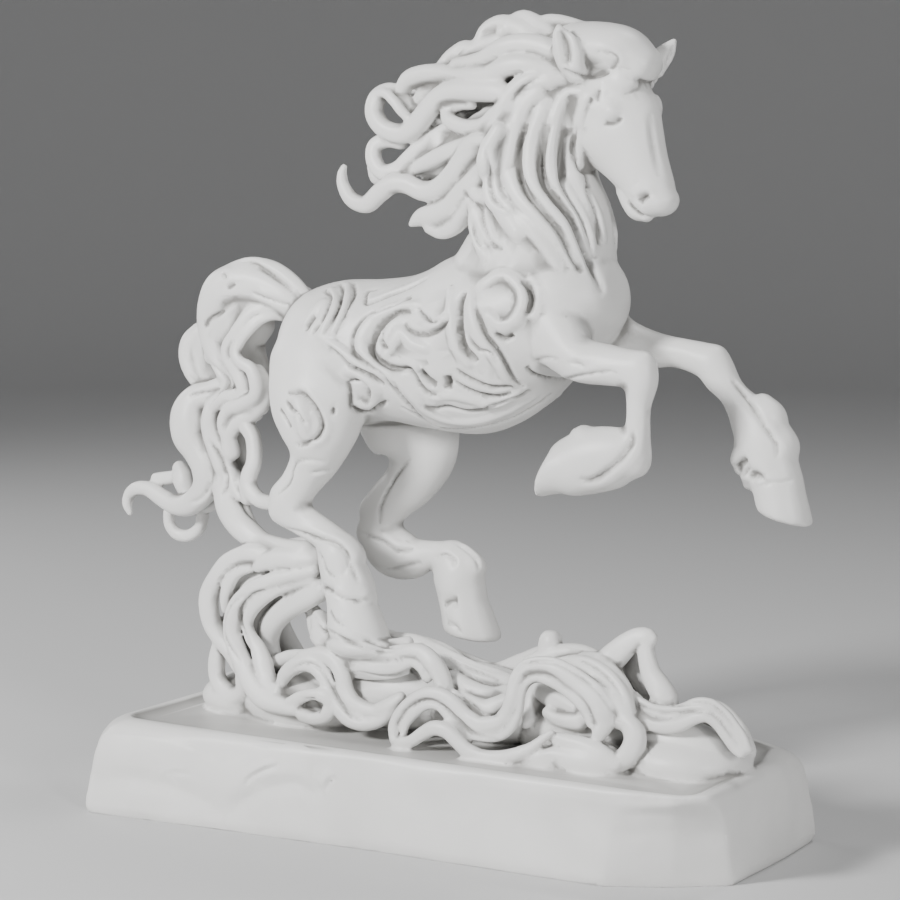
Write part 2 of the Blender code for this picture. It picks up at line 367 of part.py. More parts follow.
WAVES = [
    # Outer arc left of the near hind leg
    [(-120, -22, 165, 5), (-132.5, -22, 165.5, 6), (-143, -21, 163, 6), (-154.5, -20, 156.5, 6.5),
     (-163, -20, 146.5, 6.5), (-169, -20, 135.5, 7), (-169.5, -20, 124.5, 7), (-166.5, -20, 114, 6.5),
     (-159, -21, 105.5, 6), (-150.5, -23, 98.5, 5.5), (-142.5, -25, 90, 5)],
    [(-127.5, -24, 157, 4), (-120, -24, 161, 6), (-109, -24, 164, 7), (-96.5, -24, 165, 7),
     (-85.5, -22, 166, 7)],
    [(-133.5, -23, 155.5, 3), (-145, -22, 151.5, 4), (-152, -22, 143.5, 4.5), (-155, -22, 134, 4),
     (-154.5, -23, 126.5, 3)],
    [(-131.5, -8, 149, 6.5), (-146, -8, 142.5, 7), (-157, -8, 130.5, 7), (-159, -10, 118.5, 6)],
    # Double ribbon from the near hind fetlock down to the block
    [(-82.5, -26, 158.5, 3.5), (-97.5, -27, 155, 4), (-114.5, -28, 150, 5), (-129.5, -28, 142.5, 5.5),
     (-140, -28, 133, 6), (-144.5, -28, 122.5, 6.5), (-145, -28, 112, 6.5), (-140.5, -29, 102, 6.5),
     (-133.5, -31, 92, 7), (-125, -34, 83, 8), (-113.5, -37, 75.5, 8.5), (-99, -40, 73, 7),
     (-88, -42, 72, 5.5)],
    [(-85, -25, 152.5, 3.5), (-98.5, -26, 148.5, 3.5), (-112, -27, 143, 4), (-123, -27, 136, 4.5),
     (-131, -27, 128, 4.5), (-134, -27, 119.5, 4), (-131.5, -27, 111.5, 4.5), (-125, -28, 104.5, 5.5),
     (-120, -30, 96, 6.5), (-114.5, -33, 86.5, 6.5), (-104, -37, 78.5, 6.5)],
    [(-78.5, -23, 146, 7.5), (-92.5, -23, 139, 8), (-109, -20, 130, 8), (-122, -16, 119, 8),
     (-127.5, -12, 107, 7), (-126.5, -10, 96, 6.5), (-124, -10, 86.5, 6)],
    [(-117, -20, 95, 5), (-104.5, -22, 100.5, 4.5), (-89, -24, 104, 3.5)],
    [(-161.5, -21, 103.5, 4.5), (-163, -21, 92.5, 6), (-163, -21, 82.5, 6), (-158, -22, 74.5, 6.5),
     (-147.5, -24, 70, 7), (-138.5, -26, 75, 6), (-139.5, -27, 84, 4.5)],
    [(-163, -14, 68.5, 6.5), (-154, -14, 65, 7), (-143, -16, 67, 6)],
    # Arch in front of the hoof, two ribs
    [(-85, -35, 105, 5), (-71, -37, 108, 5), (-60.5, -38, 105, 5), (-53.5, -39, 97.5, 5.5),
     (-50, -40, 88, 5.5), (-44, -41, 81, 5.5), (-36, -41, 77.5, 5.5), (-26.5, -41, 77.5, 5),
     (-17.5, -41, 82, 5), (-10, -40, 87.5, 4)],
    [(-102, -36, 85, 3.5), (-98.5, -36, 92, 5), (-89, -37, 99.5, 5.5), (-77.5, -38, 101, 5.5),
     (-68, -39, 96, 5.5), (-62.5, -40, 87, 5.5), (-55, -42, 78, 5.5), (-46, -43, 71.5, 6),
     (-36, -43, 69.5, 6), (-27, -42, 71, 5.5), (-18.5, -41, 75.5, 5), (-13, -40, 82, 4)],
    [(-91, -41, 74, 5.5), (-82.5, -43, 80, 4.5), (-72.5, -44, 83.5, 4), (-63.5, -44, 83, 4.5),
     (-59.5, -43, 78, 4.5), (-62.5, -43, 71.5, 5), (-71, -43, 68, 4.5), (-81, -42, 68.5, 5)],
    # Sheet that the near hoof stands on, in ribs that run to the right
    [(-92, -14, 130, 5.5), (-86, -17, 123, 7.5), (-80, -21, 116, 7.5), (-69, -26, 112, 6.5)],
    [(-75, -18, 125, 6.5), (-64, -22, 119, 5.5), (-49.5, -25, 116, 4.5), (-36, -27, 115.5, 4),
     (-24, -27, 116.5, 4.5), (-13, -26, 119.5, 4)],
    [(-81, -22, 126.5, 7), (-73, -28, 117.5, 7), (-59, -32, 112, 6), (-44, -34, 110.5, 5),
     (-30.5, -34, 111, 5), (-18.5, -34, 113, 5), (-8, -34, 116, 5), (2, -34, 116, 5.5),
     (10.5, -35, 111, 6), (16, -35, 104, 6), (19.5, -36, 97, 5.5)],
    [(-79, -27, 118, 6.5), (-66.5, -32, 110, 5.5), (-53, -34, 104.5, 5), (-40, -35, 103, 5.5),
     (-27.5, -35, 103.5, 5.5), (-14.5, -35, 106, 5), (-4.5, -35, 110, 4), (3.5, -36, 107, 4),
     (7.5, -37, 101, 3.5)],
    [(-48, -34, 97.5, 3), (-33.5, -34, 97.5, 3), (-18.5, -34, 99.5, 2.5), (-8, -34, 103, 2)],
    # Crest that runs to the right behind the arches
    [(-51, -4, 116.5, 7), (-33, -8, 115.5, 6.5), (-16.5, -10, 115, 7), (-0.5, -12, 111, 7),
     (15.5, -14, 106.5, 6.5), (31.5, -16, 103, 6), (48, -18, 101.5, 6), (57, -20, 100.5, 5.5)],
    [(18.5, -24, 100, 5.5), (30.5, -27, 96, 6), (41, -28, 93, 6.5), (51.5, -28, 93, 6), (60, -28, 96, 5.5)],
    [(27.5, -34, 91.5, 4.5), (38.5, -36, 88.5, 5.5), (49.5, -37, 87, 6), (55, -37, 89, 5.5),
     (63, -36, 93.5, 4.5)],
    # Front ribbon, two ribs, over the tall arch
    [(-8, -50, 63, 3.5), (-9.5, -49, 71, 3.5), (-5, -48, 80, 4), (2.5, -47, 88, 4), (12, -46, 93.5, 4.5),
     (22, -46, 94.5, 4.5), (31.5, -46, 90.5, 5), (40, -46, 83.5, 5), (49.5, -46, 79, 5.5),
     (54.5, -46, 79, 5.5), (63, -46, 81.5, 5), (68.5, -45, 88, 4.5), (72, -45, 97, 4.5),
     (74, -44, 107, 4.5), (79, -43, 115.5, 4.5), (88, -42, 119, 4.5), (98.5, -42, 119, 5),
     (107.5, -41, 115, 6), (116.5, -40, 109.5, 6.5), (125.5, -40, 103.5, 7), (131, -40, 95.5, 7),
     (132, -40, 88, 6), (129.5, -42, 82, 5)],
    [(-1.5, -50, 66, 2.5), (-1, -49, 73, 3), (5, -48, 81, 3.5), (13.5, -47, 87, 3.5), (22, -47, 87.5, 3.5),
     (30, -47, 81, 3.5), (38, -47, 75, 3.5), (46.5, -47, 72, 3.5), (56.5, -47, 72, 3.5),
     (56, -46, 71.5, 3.5), (64.5, -46, 73.5, 3.5), (72.5, -46, 80, 3.5), (76.5, -45, 89, 3),
     (77.5, -44, 99, 3), (80.5, -43, 107, 3.5), (87.5, -42, 111, 3.5), (97, -42, 110, 4),
     (106.5, -41, 106, 4.5), (115.5, -41, 100.5, 5), (121.5, -40, 94, 5), (124, -41, 87.5, 4)],
    [(-3.5, -52, 62, 3.5), (5.5, -52, 64.5, 4), (13.5, -52, 70, 4.5), (22, -52, 74.5, 5),
     (31, -52, 73.5, 5), (38, -52, 68.5, 5), (45, -52, 63.5, 5), (55, -52, 61, 4.5),
     (66.5, -52, 61.5, 4.5), (78, -52, 64.5, 4.5), (88.5, -51, 70, 3.5), (97.5, -50, 77.5, 2.5),
     (101, -49, 80.5, 2)],
    # Curl in the hollow of the tall arch
    [(75, -21, 101, 5), (82, -24, 98, 6), (91, -27, 96, 6.5), (100, -29, 95, 6), (108, -31, 93, 5)],
    [(111, -31, 95, 4.5), (116, -34, 90.5, 5), (113, -35, 86, 5.5), (105.5, -35, 85, 5), (97, -34, 85.5, 4.5),
     (90, -33, 88, 4)],
    [(74, -24, 99, 3.5), (74, -26, 90, 4), (75.5, -30, 82, 4), (75, -34, 79, 3)],
    # Foot of the tall arch, spread on the block
    [(99, -45, 77, 3.5), (108.5, -45, 75, 5.5), (121, -45, 73, 6.5), (133, -45, 69.5, 6.5),
     (141.5, -45, 65, 4.5)],
    [(92, -50, 64, 4), (103.5, -48, 66.5, 5.5), (116.5, -47, 65, 6), (129.5, -46, 63, 5)],
    # Ring at the right of the tall arch
    [(139, -37, 89, 4.5), (147, -37, 88, 6.5), (151.5, -38, 81, 7.2), (149, -39, 72.5, 7.2), (142, -40, 66, 6.5),
     (136, -42, 63, 5.5)],
    [(85, -17, 113.5, 4), (93, -20, 115.5, 5), (103, -23, 117.5, 6), (115, -26, 116.5, 7), (127, -29, 111.5, 7.5),
     (136, -32, 104.5, 7.5), (142, -34, 97.5, 6.5), (145, -36, 91, 5.5)],
    [(108, -20, 121, 4.5), (118, -21, 120, 5.5), (129, -24, 114, 5.5), (138, -27, 107, 5), (143, -30, 99, 4)],
    # Hump behind the tall arch, with the cut stub
    [(68, -14, 112.5, 6), (81, -12, 117.5, 7), (95, -10, 120, 7.5), (109, -12, 118.5, 7.5),
     (122, -16, 113, 7.5), (132.5, -20, 106, 6)],
    [(79, -9, 112, 8.5), (79, -9, 118, 8.2), (78.6, -9, 123, 8), (78.6, -9, 126, 7.8)],
    # Horn of water and its right leg
    [(114, -14, 116, 8), (120, -14, 119, 8.5), (127, -15, 124.5, 8.5), (134, -15, 131, 7.5),
     (141, -15, 136, 6.2), (146.5, -15, 137, 5.6), (149, -15, 136, 5)],
    [(146, -15, 133, 5.5), (148, -16, 124, 6), (151.5, -17, 115, 6.8), (157, -18, 108, 7.8),
     (162, -19, 102, 7.5), (164.5, -20, 97, 6)],
    [(130.5, -2, 124, 6), (132, -2, 114.5, 6.5), (138, -3, 107, 6.5), (145.5, -5, 101, 6.5)],
    [(125, -3, 113, 6), (126, -3, 103.5, 6.5), (129, -4, 94, 7)],
    # Tendril that runs down to the right end of the block
    [(139, -24, 105, 3), (149, -26, 99.5, 3.5), (159.5, -28, 96, 4.5), (170.5, -29, 96, 5),
     (179.5, -29, 98.5, 5), (187.5, -29, 103, 4.5), (195, -28, 103.5, 4), (202, -26, 99, 4),
     (208, -25, 92, 4), (213.5, -24, 84, 4), (217, -24, 78.5, 3)],
    [(144.5, -28, 95.5, 3), (153.5, -30, 90, 4.5), (165, -31, 88, 4.5), (177, -32, 90.5, 4.5),
     (186.5, -32, 95.5, 4), (193.5, -31, 97.5, 4), (200, -29, 93.5, 4), (205.5, -28, 86.5, 4),
     (210, -27, 80.5, 4), (214, -27, 77, 3.5)],
    # Far side, plainer
    [(-88, -8, 160, 8), (-110, -10, 153, 11), (-130, -10, 141, 14), (-142, -10, 124, 15), (-144, -10, 104, 14),
     (-137, -12, 86, 14), (-120, -14, 73, 12)],
    [(-100, 6, 168, 8), (-126, 10, 162, 9), (-146, 12, 150, 11), (-156, 12, 132, 12), (-156, 12, 110, 12),
     (-148, 12, 90, 12), (-138, 12, 72, 11), (-118, 14, 64, 9)],
    [(-92, 6, 158, 8), (-118, 10, 150, 10), (-138, 14, 138, 11), (-145, 16, 118, 12), (-138, 18, 98, 12),
     (-124, 20, 80, 12), (-100, 22, 70, 10)],
    [(-124, 20, 72, 9), (-106, 25, 88, 9), (-84, 27, 92, 9), (-62, 28, 84, 9), (-46, 29, 74, 9), (-24, 30, 70, 8),
     (-6, 29, 82, 8), (14, 28, 90, 8), (36, 27, 84, 8), (50, 28, 70, 8)],
    [(-60, 6, 104, 9), (-40, 12, 104, 9), (-18, 16, 104, 9), (4, 18, 98, 9), (24, 20, 94, 9), (44, 20, 102, 9),
     (64, 20, 110, 9), (84, 20, 108, 9), (104, 22, 96, 9), (116, 24, 78, 9)],
    [(40, 26, 70, 9), (58, 27, 82, 9), (76, 28, 94, 9), (98, 28, 88, 9), (116, 27, 74, 9), (136, 25, 70, 8),
     (156, 22, 82, 8), (176, 18, 88, 8), (192, 12, 80, 8), (202, 6, 70, 7)],
]

# Deeper masses of the water: centre and half sizes
SWELLS = [((-40, -4, 84), (80, 30, 25)), ((-96, 2, 70), (60, 42, 26)), ((40, -2, 79), (60, 32, 20)),
          ((100, -2, 76), (56, 32, 24)), ((168, -6, 64), (42, 36, 20)), ((-30, 0, 100), (46, 16, 19)),
          ((16, 0, 91), (46, 18, 15)), ((-55, -20, 106), (28, 20, 14)), ((-150, 4, 66), (36, 34, 16)),
          ((86, -8, 98), (30, 16, 19)), ((168, -16, 70), (34, 16, 21)), ((119, -40, 64), (27, 14, 13)),
          ((92, -44, 62), (22, 10, 9)), ((-46, -28, 115), (25, 17, 9))]


def material(name, colour, roughness):
    """The pale cast stone of the whole figure."""
    surface = bpy.data.materials.new(name)
    surface.use_nodes = True
    shader = surface.node_tree.nodes["Principled BSDF"]
    shader.inputs["Base Color"].default_value = colour
    shader.inputs["Roughness"].default_value = roughness
    shader.inputs["Metallic"].default_value = 0.0
    return surface


def block_outlines():
    """The foot and the top of the rough block, as matching corners."""
    x = BLOCK_LENGTH / 2
    y = BLOCK_WIDTH / 2
    c = CORNER_CUT
    foot = [(-x + 0.003, -y - 0.010), (-x * 0.6, -y - 0.002), (0, -y + 0.007), (x - 1.7 * c, -y + 0.011),
            (x - 0.8 * c, -y + 0.75 * c), (x - 0.002, -y + 1.3 * c), (x + 0.001, 0.4 * y), (x, y - 0.15 * c),
            (x - c, y), (0, y), (-x + 0.5 * c, y), (-x, y - 0.6 * c), (-x - 0.004, -y + 0.1 * c)]
    top = [(-x + 0.55 * c, -y + 0.004), (-x * 0.6, -y + 0.001), (0, -y), (x - 1.2 * c, -y), (x - 0.4 * c, -y + 0.003),
           (x - 0.001, -y + 0.4 * c), (x - 0.001, 0.3 * y), (x - 0.3 * c, y - 0.6 * c), (x - 1.1 * c, y - 0.004),
           (0, y - 0.003), (-x + 0.7 * c, y - 0.007), (-x + 0.3 * c, y - 0.7 * c), (-x + 0.22 * c, -y + 0.5 * c)]
    return foot, top


def draw_in(loop, distance):
    """Corners of a level ring, listed turning left, moved inwards so that every side moves by the distance."""
    spots = [vert.co.copy() for vert in loop]
    for before, spot, after, vert in zip(spots[-1:] + spots[:-1], spots, spots[1:] + spots[:1], loop):
        come = (spot - before).normalized()
        leave = (after - spot).normalized()
        inward = Vector((-come.y - leave.y, come.x + leave.x, 0)).normalized()
        vert.co = spot + inward * distance / max(0.5, inward.dot(Vector((-come.y, come.x, 0))))


def block(bm):
    """The rough block: corners cut, edges rounded, top dished.

    Each level is its share of the way from the foot to the top outline, its share of the height and how far
    it is drawn in, in edge roundings.
    """
    foot, top = block_outlines()
    levels = [(0.0, -SAWN / BLOCK_HEIGHT, 0.0), (0.3, 0.06, 0.0), (0.5, 0.74, 0.0), (1.0, 0.93, 0.3),
              (1.0, 1.0, 1.2), (1.0, 1.0, 1.9), (1.0, 1.0 - DISH / BLOCK_HEIGHT, 3.0)]
    loops = []
    for toward_top, height, inset in levels:
        loop = []
        for (fx, fy), (tx, ty) in zip(foot, top):
            px = fx + (tx - fx) * toward_top
            py = fy + (ty - fy) * toward_top
            loop.append(bm.verts.new((px, py, BLOCK_HEIGHT * height)))
        draw_in(loop, inset * EDGE_ROUND)
        loops.append(loop)
    bm.faces.new(loops[0][::-1])
    bm.faces.new(loops[-1])
    for lower, upper in zip(loops, loops[1:]):
        for k in range(len(lower)):
            n = (k + 1) % len(lower)
            bm.faces.new((lower[k], lower[n], upper[n], upper[k]))


def face(bm):
    """Muzzle, lips, brow and eyelids."""
    for centre, sizes in FACE:
        ball(bm, centre, sizes)


def body(bm):
    """Trunk, neck, head and legs of the horse."""
    for rows in LIMBS + CRISP:
        swept(bm, rows)
    ball(bm, *CHEST)
    for heel, toe, top, half_width, top_length in HOOVES:
        hoof(bm, heel, toe, top, half_width, top_length)


def laid_on(skin, rows, plane, side, sink):
    """Rows x, z, radius of a ridge that the eye sees on a plane, laid on the skin and sunk by a share.

    Side -1 is the near side; side 1 mirrors the ridge to the far side.
    """
    eye = Vector(placed(EYE[0], -EYE[1] * side, EYE[2]))
    laid = []
    for x, z, radius in rows:
        aim = Vector(placed(x, -plane * side, z))
        hit, normal, face, distance = skin.ray_cast(eye, (aim - eye).normalized())
        if hit is None:
            hit = aim
            normal = Vector((1, 0, 0))
        centre = hit - normal * (radius * sink * SCALE)
        laid.append((centre.x / SCALE, centre.y / SCALE,
                     (centre.z - BLOCK_HEIGHT) / SCALE + MASTER_BLOCK_TOP, radius))
    return laid


def relief(bm, mesh):
    """Ridges of the neck and scrolls of the flanks, laid on both sides of the smooth body."""
    base = bmesh.new()
    base.from_mesh(mesh)
    skin = BVHTree.FromBMesh(base)
    base.free()
    for side in (-1, 1):
        for rows in NECK_RIDGES[NEAR_ONLY if side > 0 else 0:]:
            locks(bm, laid_on(skin, rows, NECK_PLANE, side, NECK_SINK), steps=3, count=10)
        for rows in SCROLLS:
            locks(bm, laid_on(skin, rows, FLANK_PLANE, side, SCROLL_SINK), steps=3, count=10)


def water_and_hair(bm):
    """Mane, tail and waves."""
    for rows in TAIL + MANE + WAVES:
        locks(bm, rows, steps=3, count=12)
    for centre, sizes in SWELLS:
        ball(bm, centre, sizes)


def object_of(name, mesh):
    thing = bpy.data.objects.new(name, mesh)
    bpy.context.collection.objects.link(thing)
    return thing


def run_together(name, bm, voxel, rounds):
    """One skin round all the overlapping forms in bm, its joins softened; returns the new mesh."""
    mesh = bpy.data.meshes.new(name)
    bm.to_mesh(mesh)
    bm.free()
    thing = object_of(name, mesh)
    skin = thing.modifiers.new("one_skin", "REMESH")
    skin.mode = "VOXEL"
    skin.voxel_size = voxel
    soften = thing.modifiers.new("soft_joins", "SMOOTH")
    soften.factor = 0.5
    soften.iterations = int(rounds)
    shape = thing.evaluated_get(bpy.context.evaluated_depsgraph_get())
    result = bpy.data.meshes.new_from_object(shape)
    bpy.data.objects.remove(thing)
    return result


def largest_piece(bm):
    """Takes away every loose crumb of skin but the largest piece."""
    left = set(bm.verts)
    pieces = []
    while left:
        piece = [left.pop()]
        for vert in piece:
            near = {edge.other_vert(vert) for edge in vert.link_edges} & left
            left -= near
            piece.extend(near)
        pieces.append(piece)
    pieces.sort(key=len)
    crumbs = [vert for piece in pieces[:-1] for vert in piece]
    bmesh.ops.delete(bm, geom=crumbs, context="VERTS")


def thinned(mesh, triangles):
    """The same skin with about so many triangles, most of them where it bends."""
    thing = object_of("thinned", mesh)
    thin = thing.modifiers.new("thin", "DECIMATE")
    thin.ratio = triangles / sum(len(face.vertices) - 2 for face in mesh.polygons)
    thin.use_collapse_triangulate = True
    shape = thing.evaluated_get(bpy.context.evaluated_depsgraph_get())
    result = bpy.data.meshes.new_from_object(shape)
    bpy.data.objects.remove(thing)
    return result


def sawn_flat(bm):
    """The underside sawn off flat at z = 0."""
    cut = bmesh.ops.bisect_plane(bm, geom=bm.verts[:] + bm.edges[:] + bm.faces[:], plane_co=(0, 0, 0),
                                 plane_no=(0, 0, 1), clear_inner=True)
    rim = [part for part in cut["geom_cut"] if isinstance(part, bmesh.types.BMEdge)]
    bmesh.ops.triangle_fill(bm, edges=rim, use_beauty=True)
    bmesh.ops.recalc_face_normals(bm, faces=bm.faces)


def statue():
    """The whole casting as one solid."""
    bm = bmesh.new()
    body(bm)
    smooth_body = run_together("body", bm, BODY_VOXEL, BODY_ROUNDS)
    bm = bmesh.new()
    bm.from_mesh(smooth_body)
    relief(bm, smooth_body)
    face(bm)
    water_and_hair(bm)
    block(bm)
    cast = run_together("cast", bm, CAST_VOXEL, CAST_ROUNDS)
    bm = bmesh.new()
    bm.from_mesh(cast)
    largest_piece(bm)
    bm.to_mesh(cast)
    bm.free()
    coarse = thinned(cast, SOLID_TRIANGLES)
    bm = bmesh.new()
    bm.from_mesh(coarse)
    sawn_flat(bm)
    mesh = bpy.data.meshes.new("horse_statue")
    bm.to_mesh(mesh)
    bm.free()
    mesh.shade_smooth()
    mesh.set_sharp_from_angle(angle=math.radians(50))
    return object_of("horse_statue", mesh)


def main():
    for thing in list(bpy.data.objects):
        bpy.data.objects.remove(thing)
    figure = statue()
    figure.data.materials.append(material("cast_stone", (0.85, 0.84, 0.82, 1.0), 0.45))


main()
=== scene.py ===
"""A prancing horse on curling waves, cast in one with its rough block, on a pale studio floor."""
import math

import bmesh
import bpy
import numpy as np
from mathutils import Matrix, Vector
from mathutils.bvhtree import BVHTree


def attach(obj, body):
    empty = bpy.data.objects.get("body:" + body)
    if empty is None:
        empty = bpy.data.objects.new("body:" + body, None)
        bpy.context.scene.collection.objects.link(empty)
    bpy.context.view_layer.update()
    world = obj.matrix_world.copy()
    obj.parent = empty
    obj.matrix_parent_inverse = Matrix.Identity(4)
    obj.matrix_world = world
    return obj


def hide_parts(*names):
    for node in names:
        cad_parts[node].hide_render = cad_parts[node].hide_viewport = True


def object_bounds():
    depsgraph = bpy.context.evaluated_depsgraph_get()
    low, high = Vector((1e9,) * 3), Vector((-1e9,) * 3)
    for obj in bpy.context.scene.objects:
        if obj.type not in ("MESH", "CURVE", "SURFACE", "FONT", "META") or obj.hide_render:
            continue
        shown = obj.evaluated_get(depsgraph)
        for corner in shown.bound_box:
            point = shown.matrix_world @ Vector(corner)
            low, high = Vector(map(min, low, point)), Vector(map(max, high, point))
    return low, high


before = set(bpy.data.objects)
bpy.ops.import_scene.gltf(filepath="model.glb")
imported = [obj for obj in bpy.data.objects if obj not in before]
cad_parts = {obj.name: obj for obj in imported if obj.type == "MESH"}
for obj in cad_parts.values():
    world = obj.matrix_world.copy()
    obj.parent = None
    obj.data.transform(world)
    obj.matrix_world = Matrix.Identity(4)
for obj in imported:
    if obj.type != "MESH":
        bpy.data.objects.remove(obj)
CAD_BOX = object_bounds()

# Driving dimensions, in metres
FIGURE_HEIGHT = 0.446
BLOCK_LENGTH = 0.436
BLOCK_WIDTH = 0.178
BLOCK_HEIGHT = 0.061
CORNER_CUT = 0.040
EDGE_ROUND = 0.006

# The dip of the block's top, what is sawn off under its foot and how uneven its sides are, in metres
DISH = 0.003
SAWN = 0.002
UNEVEN = 0.0022

# The master model that the tables of forms are drawn on, in millimetres
MASTER_FIGURE_HEIGHT = 446.0
MASTER_BLOCK_TOP = 61.0
SCALE = FIGURE_HEIGHT / MASTER_FIGURE_HEIGHT
MM = 0.001

# Voxels in metres and rounds of smoothing of the bare horse, the whole casting and the worn block
BODY_VOXEL = 0.0018
BODY_ROUNDS = 20
CAST_VOXEL = 0.00115
CAST_ROUNDS = 4
WORN_VOXEL = 0.002
WORN_ROUNDS = 14

# Triangles left in the finished skin
SKIN_TRIANGLES = 196000

# Painted shade: the skin is shaded in full where it lies so deep, in metres, under itself smoothed by so
# many rounds.
# On the block the painted shade fades out over so many metres below the top
SHADE_ROUNDS = 14
FULL_SHADE_DEPTH = 0.0011
SHADE_FADE = 0.006

# Ridges on the skin: how deep they lie in it, as a share of their radius, and how finely they are swept
NECK_SINK = 0.45
SCROLL_SINK = 0.4
RIDGE_STEPS = 5
RIDGE_CORNERS = 16

# Strands of hair and water: their lobes, the twist of these from end to end, the turn that shows the valley
# between two lobes to the near side, and the depth of the valleys as a share of the radius
STRAND_LOBES = 3
STRAND_TWIST = 0.8
TOWARD_VIEW = 0.75 * math.pi
STRAND_CORNERS = 36
TAIL_VALLEYS = 0.12
MANE_VALLEYS = 0.1
WATER_VALLEYS = 0.15

# Rounded end of a sweep: how far out each ring lies and how wide it is, as shares of the last row's size
ROUND_END = [(0.0, 1.0), (0.38, 0.92), (0.71, 0.71), (0.92, 0.38)]

# Rings of a hoof: share of the way from the sole to the hair, and width
HOOF_RINGS = [(-0.04, 0.90), (0.0, 0.97), (0.08, 1.0), (0.5, 0.93), (1.0, 0.86)]
SOLE_SHARE = 0.05

# Carved lines: steps between two rows, spacing in metres, share of the line that fades out at each end,
# reach in widths, how far the skin has to face as the line does, and how much deeper the near side is cut
LINE_STEPS = 12
LINE_SPACING = 0.0009
LINE_ENDS = 0.3
LINE_REACH = 2.0
LEAST_FACING = 0.15
FLANK_DEEPER = 1.8
HEAD_DEEPER = 1.2

# Where the eye stands that the ridges and carved lines were drawn for, in millimetres of the master model
EYE = (814.1, -1365.4, 426.8)

# The camera at the same place in metres, its tilt and turn in degrees, its lens and sensor in millimetres
CAMERA_PLACE = (0.8141, -1.3654, 0.4268)
CAMERA_DOWN = 6.768
CAMERA_TURN = 30.75
CAMERA_LENS = 102.8
CAMERA_SENSOR = 36

# The studio's floor and the curve of its backdrop, in metres, and the corners and steps they are made in
FLOOR_REACH = 3.0
BACKDROP = 2.0
FLOOR_CORNERS = 96
BACKDROP_STEPS = 9

# Lights, all turned to one spot: name, place, size in metres, power in watts
LIT_SPOT = (0, 0, 0.25)
LIGHTS = [("key", (-0.8, -1.8, 1.2), 0.4, 76), ("side", (1.8, -1.2, 0.7), 0.45, 26),
          ("top", (0.4, 0.6, 1.9), 0.5, 12), ("rim", (-1.7, 0.3, 0.9), 0.5, 8)]
ROOM_LIGHT = 0.08

# Colours of the stone's darker and paler clouds, the painted shade of its hollows, the floor and the room's
# own light
STONE_DARKER = (0.66, 0.655, 0.64, 1)
STONE_PALER = (0.76, 0.755, 0.74, 1)
PAINTED_SHADE_TONE = (0.22, 0.215, 0.205, 1)
FLOOR_TONE = (0.56, 0.56, 0.56, 1)
ROOM_TONE = (0.9, 0.92, 0.95, 1)

# Masses of the horse: x, y, z, half thickness in the plane, half thickness sideways
TRUNK = [(-112, 0, 286, 20, 18), (-104, 0, 289, 33, 31), (-92, 0, 292, 43, 39), (-70, 0, 296, 46.5, 43),
         (-40, 0, 299, 45, 42), (-10, 0, 300, 49.5, 43), (20, 0, 305, 56, 44), (50, 0, 318, 51, 45),
         (74, 0, 329, 41, 42), (92, 0, 335, 31, 34)]
CHEST = ((84, 0, 334), (37, 39, 36))
NECK = [(46, 0, 328, 48, 36), (65, 0, 355, 49, 36), (72, 0, 380, 40, 33), (70, 0, 410, 31, 29),
        (76, 0, 440, 26, 25), (90, 0, 464, 22, 19)]
HEAD = [(96, 0, 466, 20, 17), (105, 0, 455, 28, 19), (117, 0, 438, 29.5, 18.5), (123.5, 0, 427.5, 25.5, 17),
        (131, 0, 415, 20, 14.5), (137.5, 0, 404, 16.5, 12.5), (141, 0, 396, 15, 12)]
HOOD = [(80, 0, 479, 16, 18), (92, 0, 483, 16.5, 21), (108, 0, 484, 15, 22), (122, 0, 481, 14.5, 20),
        (134, 0, 474, 11, 15)]
NEAR_EAR = [(99, -18, 468, 6.5, 5), (97, -22, 476, 9, 6), (94.5, -24, 485, 8.5, 5.5),
            (92, -26, 492, 5, 3.5), (91, -26, 496, 1.8, 1.5)]
FAR_EAR = [(127, 16, 468, 8, 6), (132, 19, 474, 7.5, 5), (138, 22, 482, 5.5, 4), (142, 24, 488, 2, 1.6)]
NEAR_FORELEG = [(86, -24, 320, 22, 16), (108, -33, 303, 14.5, 13), (130, -35, 299.5, 12.5, 11),
                (148, -36, 298, 11, 10.5)]
NEAR_FORE_CANNON = [(151, -36, 300, 11, 10), (152, -36, 290, 10.5, 9.5), (150.5, -36, 277, 7.8, 7),
                    (150, -36, 262, 7.8, 7.5), (149, -36, 248, 10, 9)]
NEAR_FORE_PASTERN = [(149, -36, 246, 12.5, 10), (139, -36, 246, 18, 12), (121, -36, 243, 20, 14),
                     (106, -36, 238, 18, 14.5)]
FAR_FORELEG = [(90, 22, 317, 24, 16), (106, 28, 308, 16, 14), (125, 30, 304, 12, 11),
               (142, 30, 303, 9.5, 9), (158, 30, 300, 10.5, 10), (167, 30, 297, 11.5, 10.5)]
FAR_FORE_CANNON = [(166, 30, 299, 11.5, 10.5), (172, 30, 289, 11, 10), (179, 30, 281, 8.8, 8.5),
                   (186, 30, 273, 10.5, 10)]
FAR_FORE_PASTERN = [(185, 30, 274, 10, 10), (191, 30, 267.5, 14, 12), (197.5, 30, 259.5, 17.5, 14),
                    (200.5, 30, 251, 19.5, 15), (203, 30, 243, 19, 15), (206.5, 30, 234.5, 17, 14.5),
                    (210.5, 30, 226, 16, 14.5)]
NEAR_THIGH = [(-79, -20, 292, 38, 24), (-79, -25, 266, 35, 23), (-78, -28, 246, 27, 20),
              (-81, -28, 230, 17, 15), (-92, -28, 214, 13, 11), (-101, -28, 202, 15, 11)]
NEAR_HIND_CANNON = [(-105, -28, 198, 12, 10), (-88, -28, 190, 10.5, 9), (-72, -28, 182, 10.5, 9),
                    (-62, -28, 173, 14, 11)]
NEAR_HIND_PASTERN = [(-63, -28, 172, 15, 12), (-59, -28, 160, 16.5, 13), (-54, -28, 148, 17.5, 14.5)]
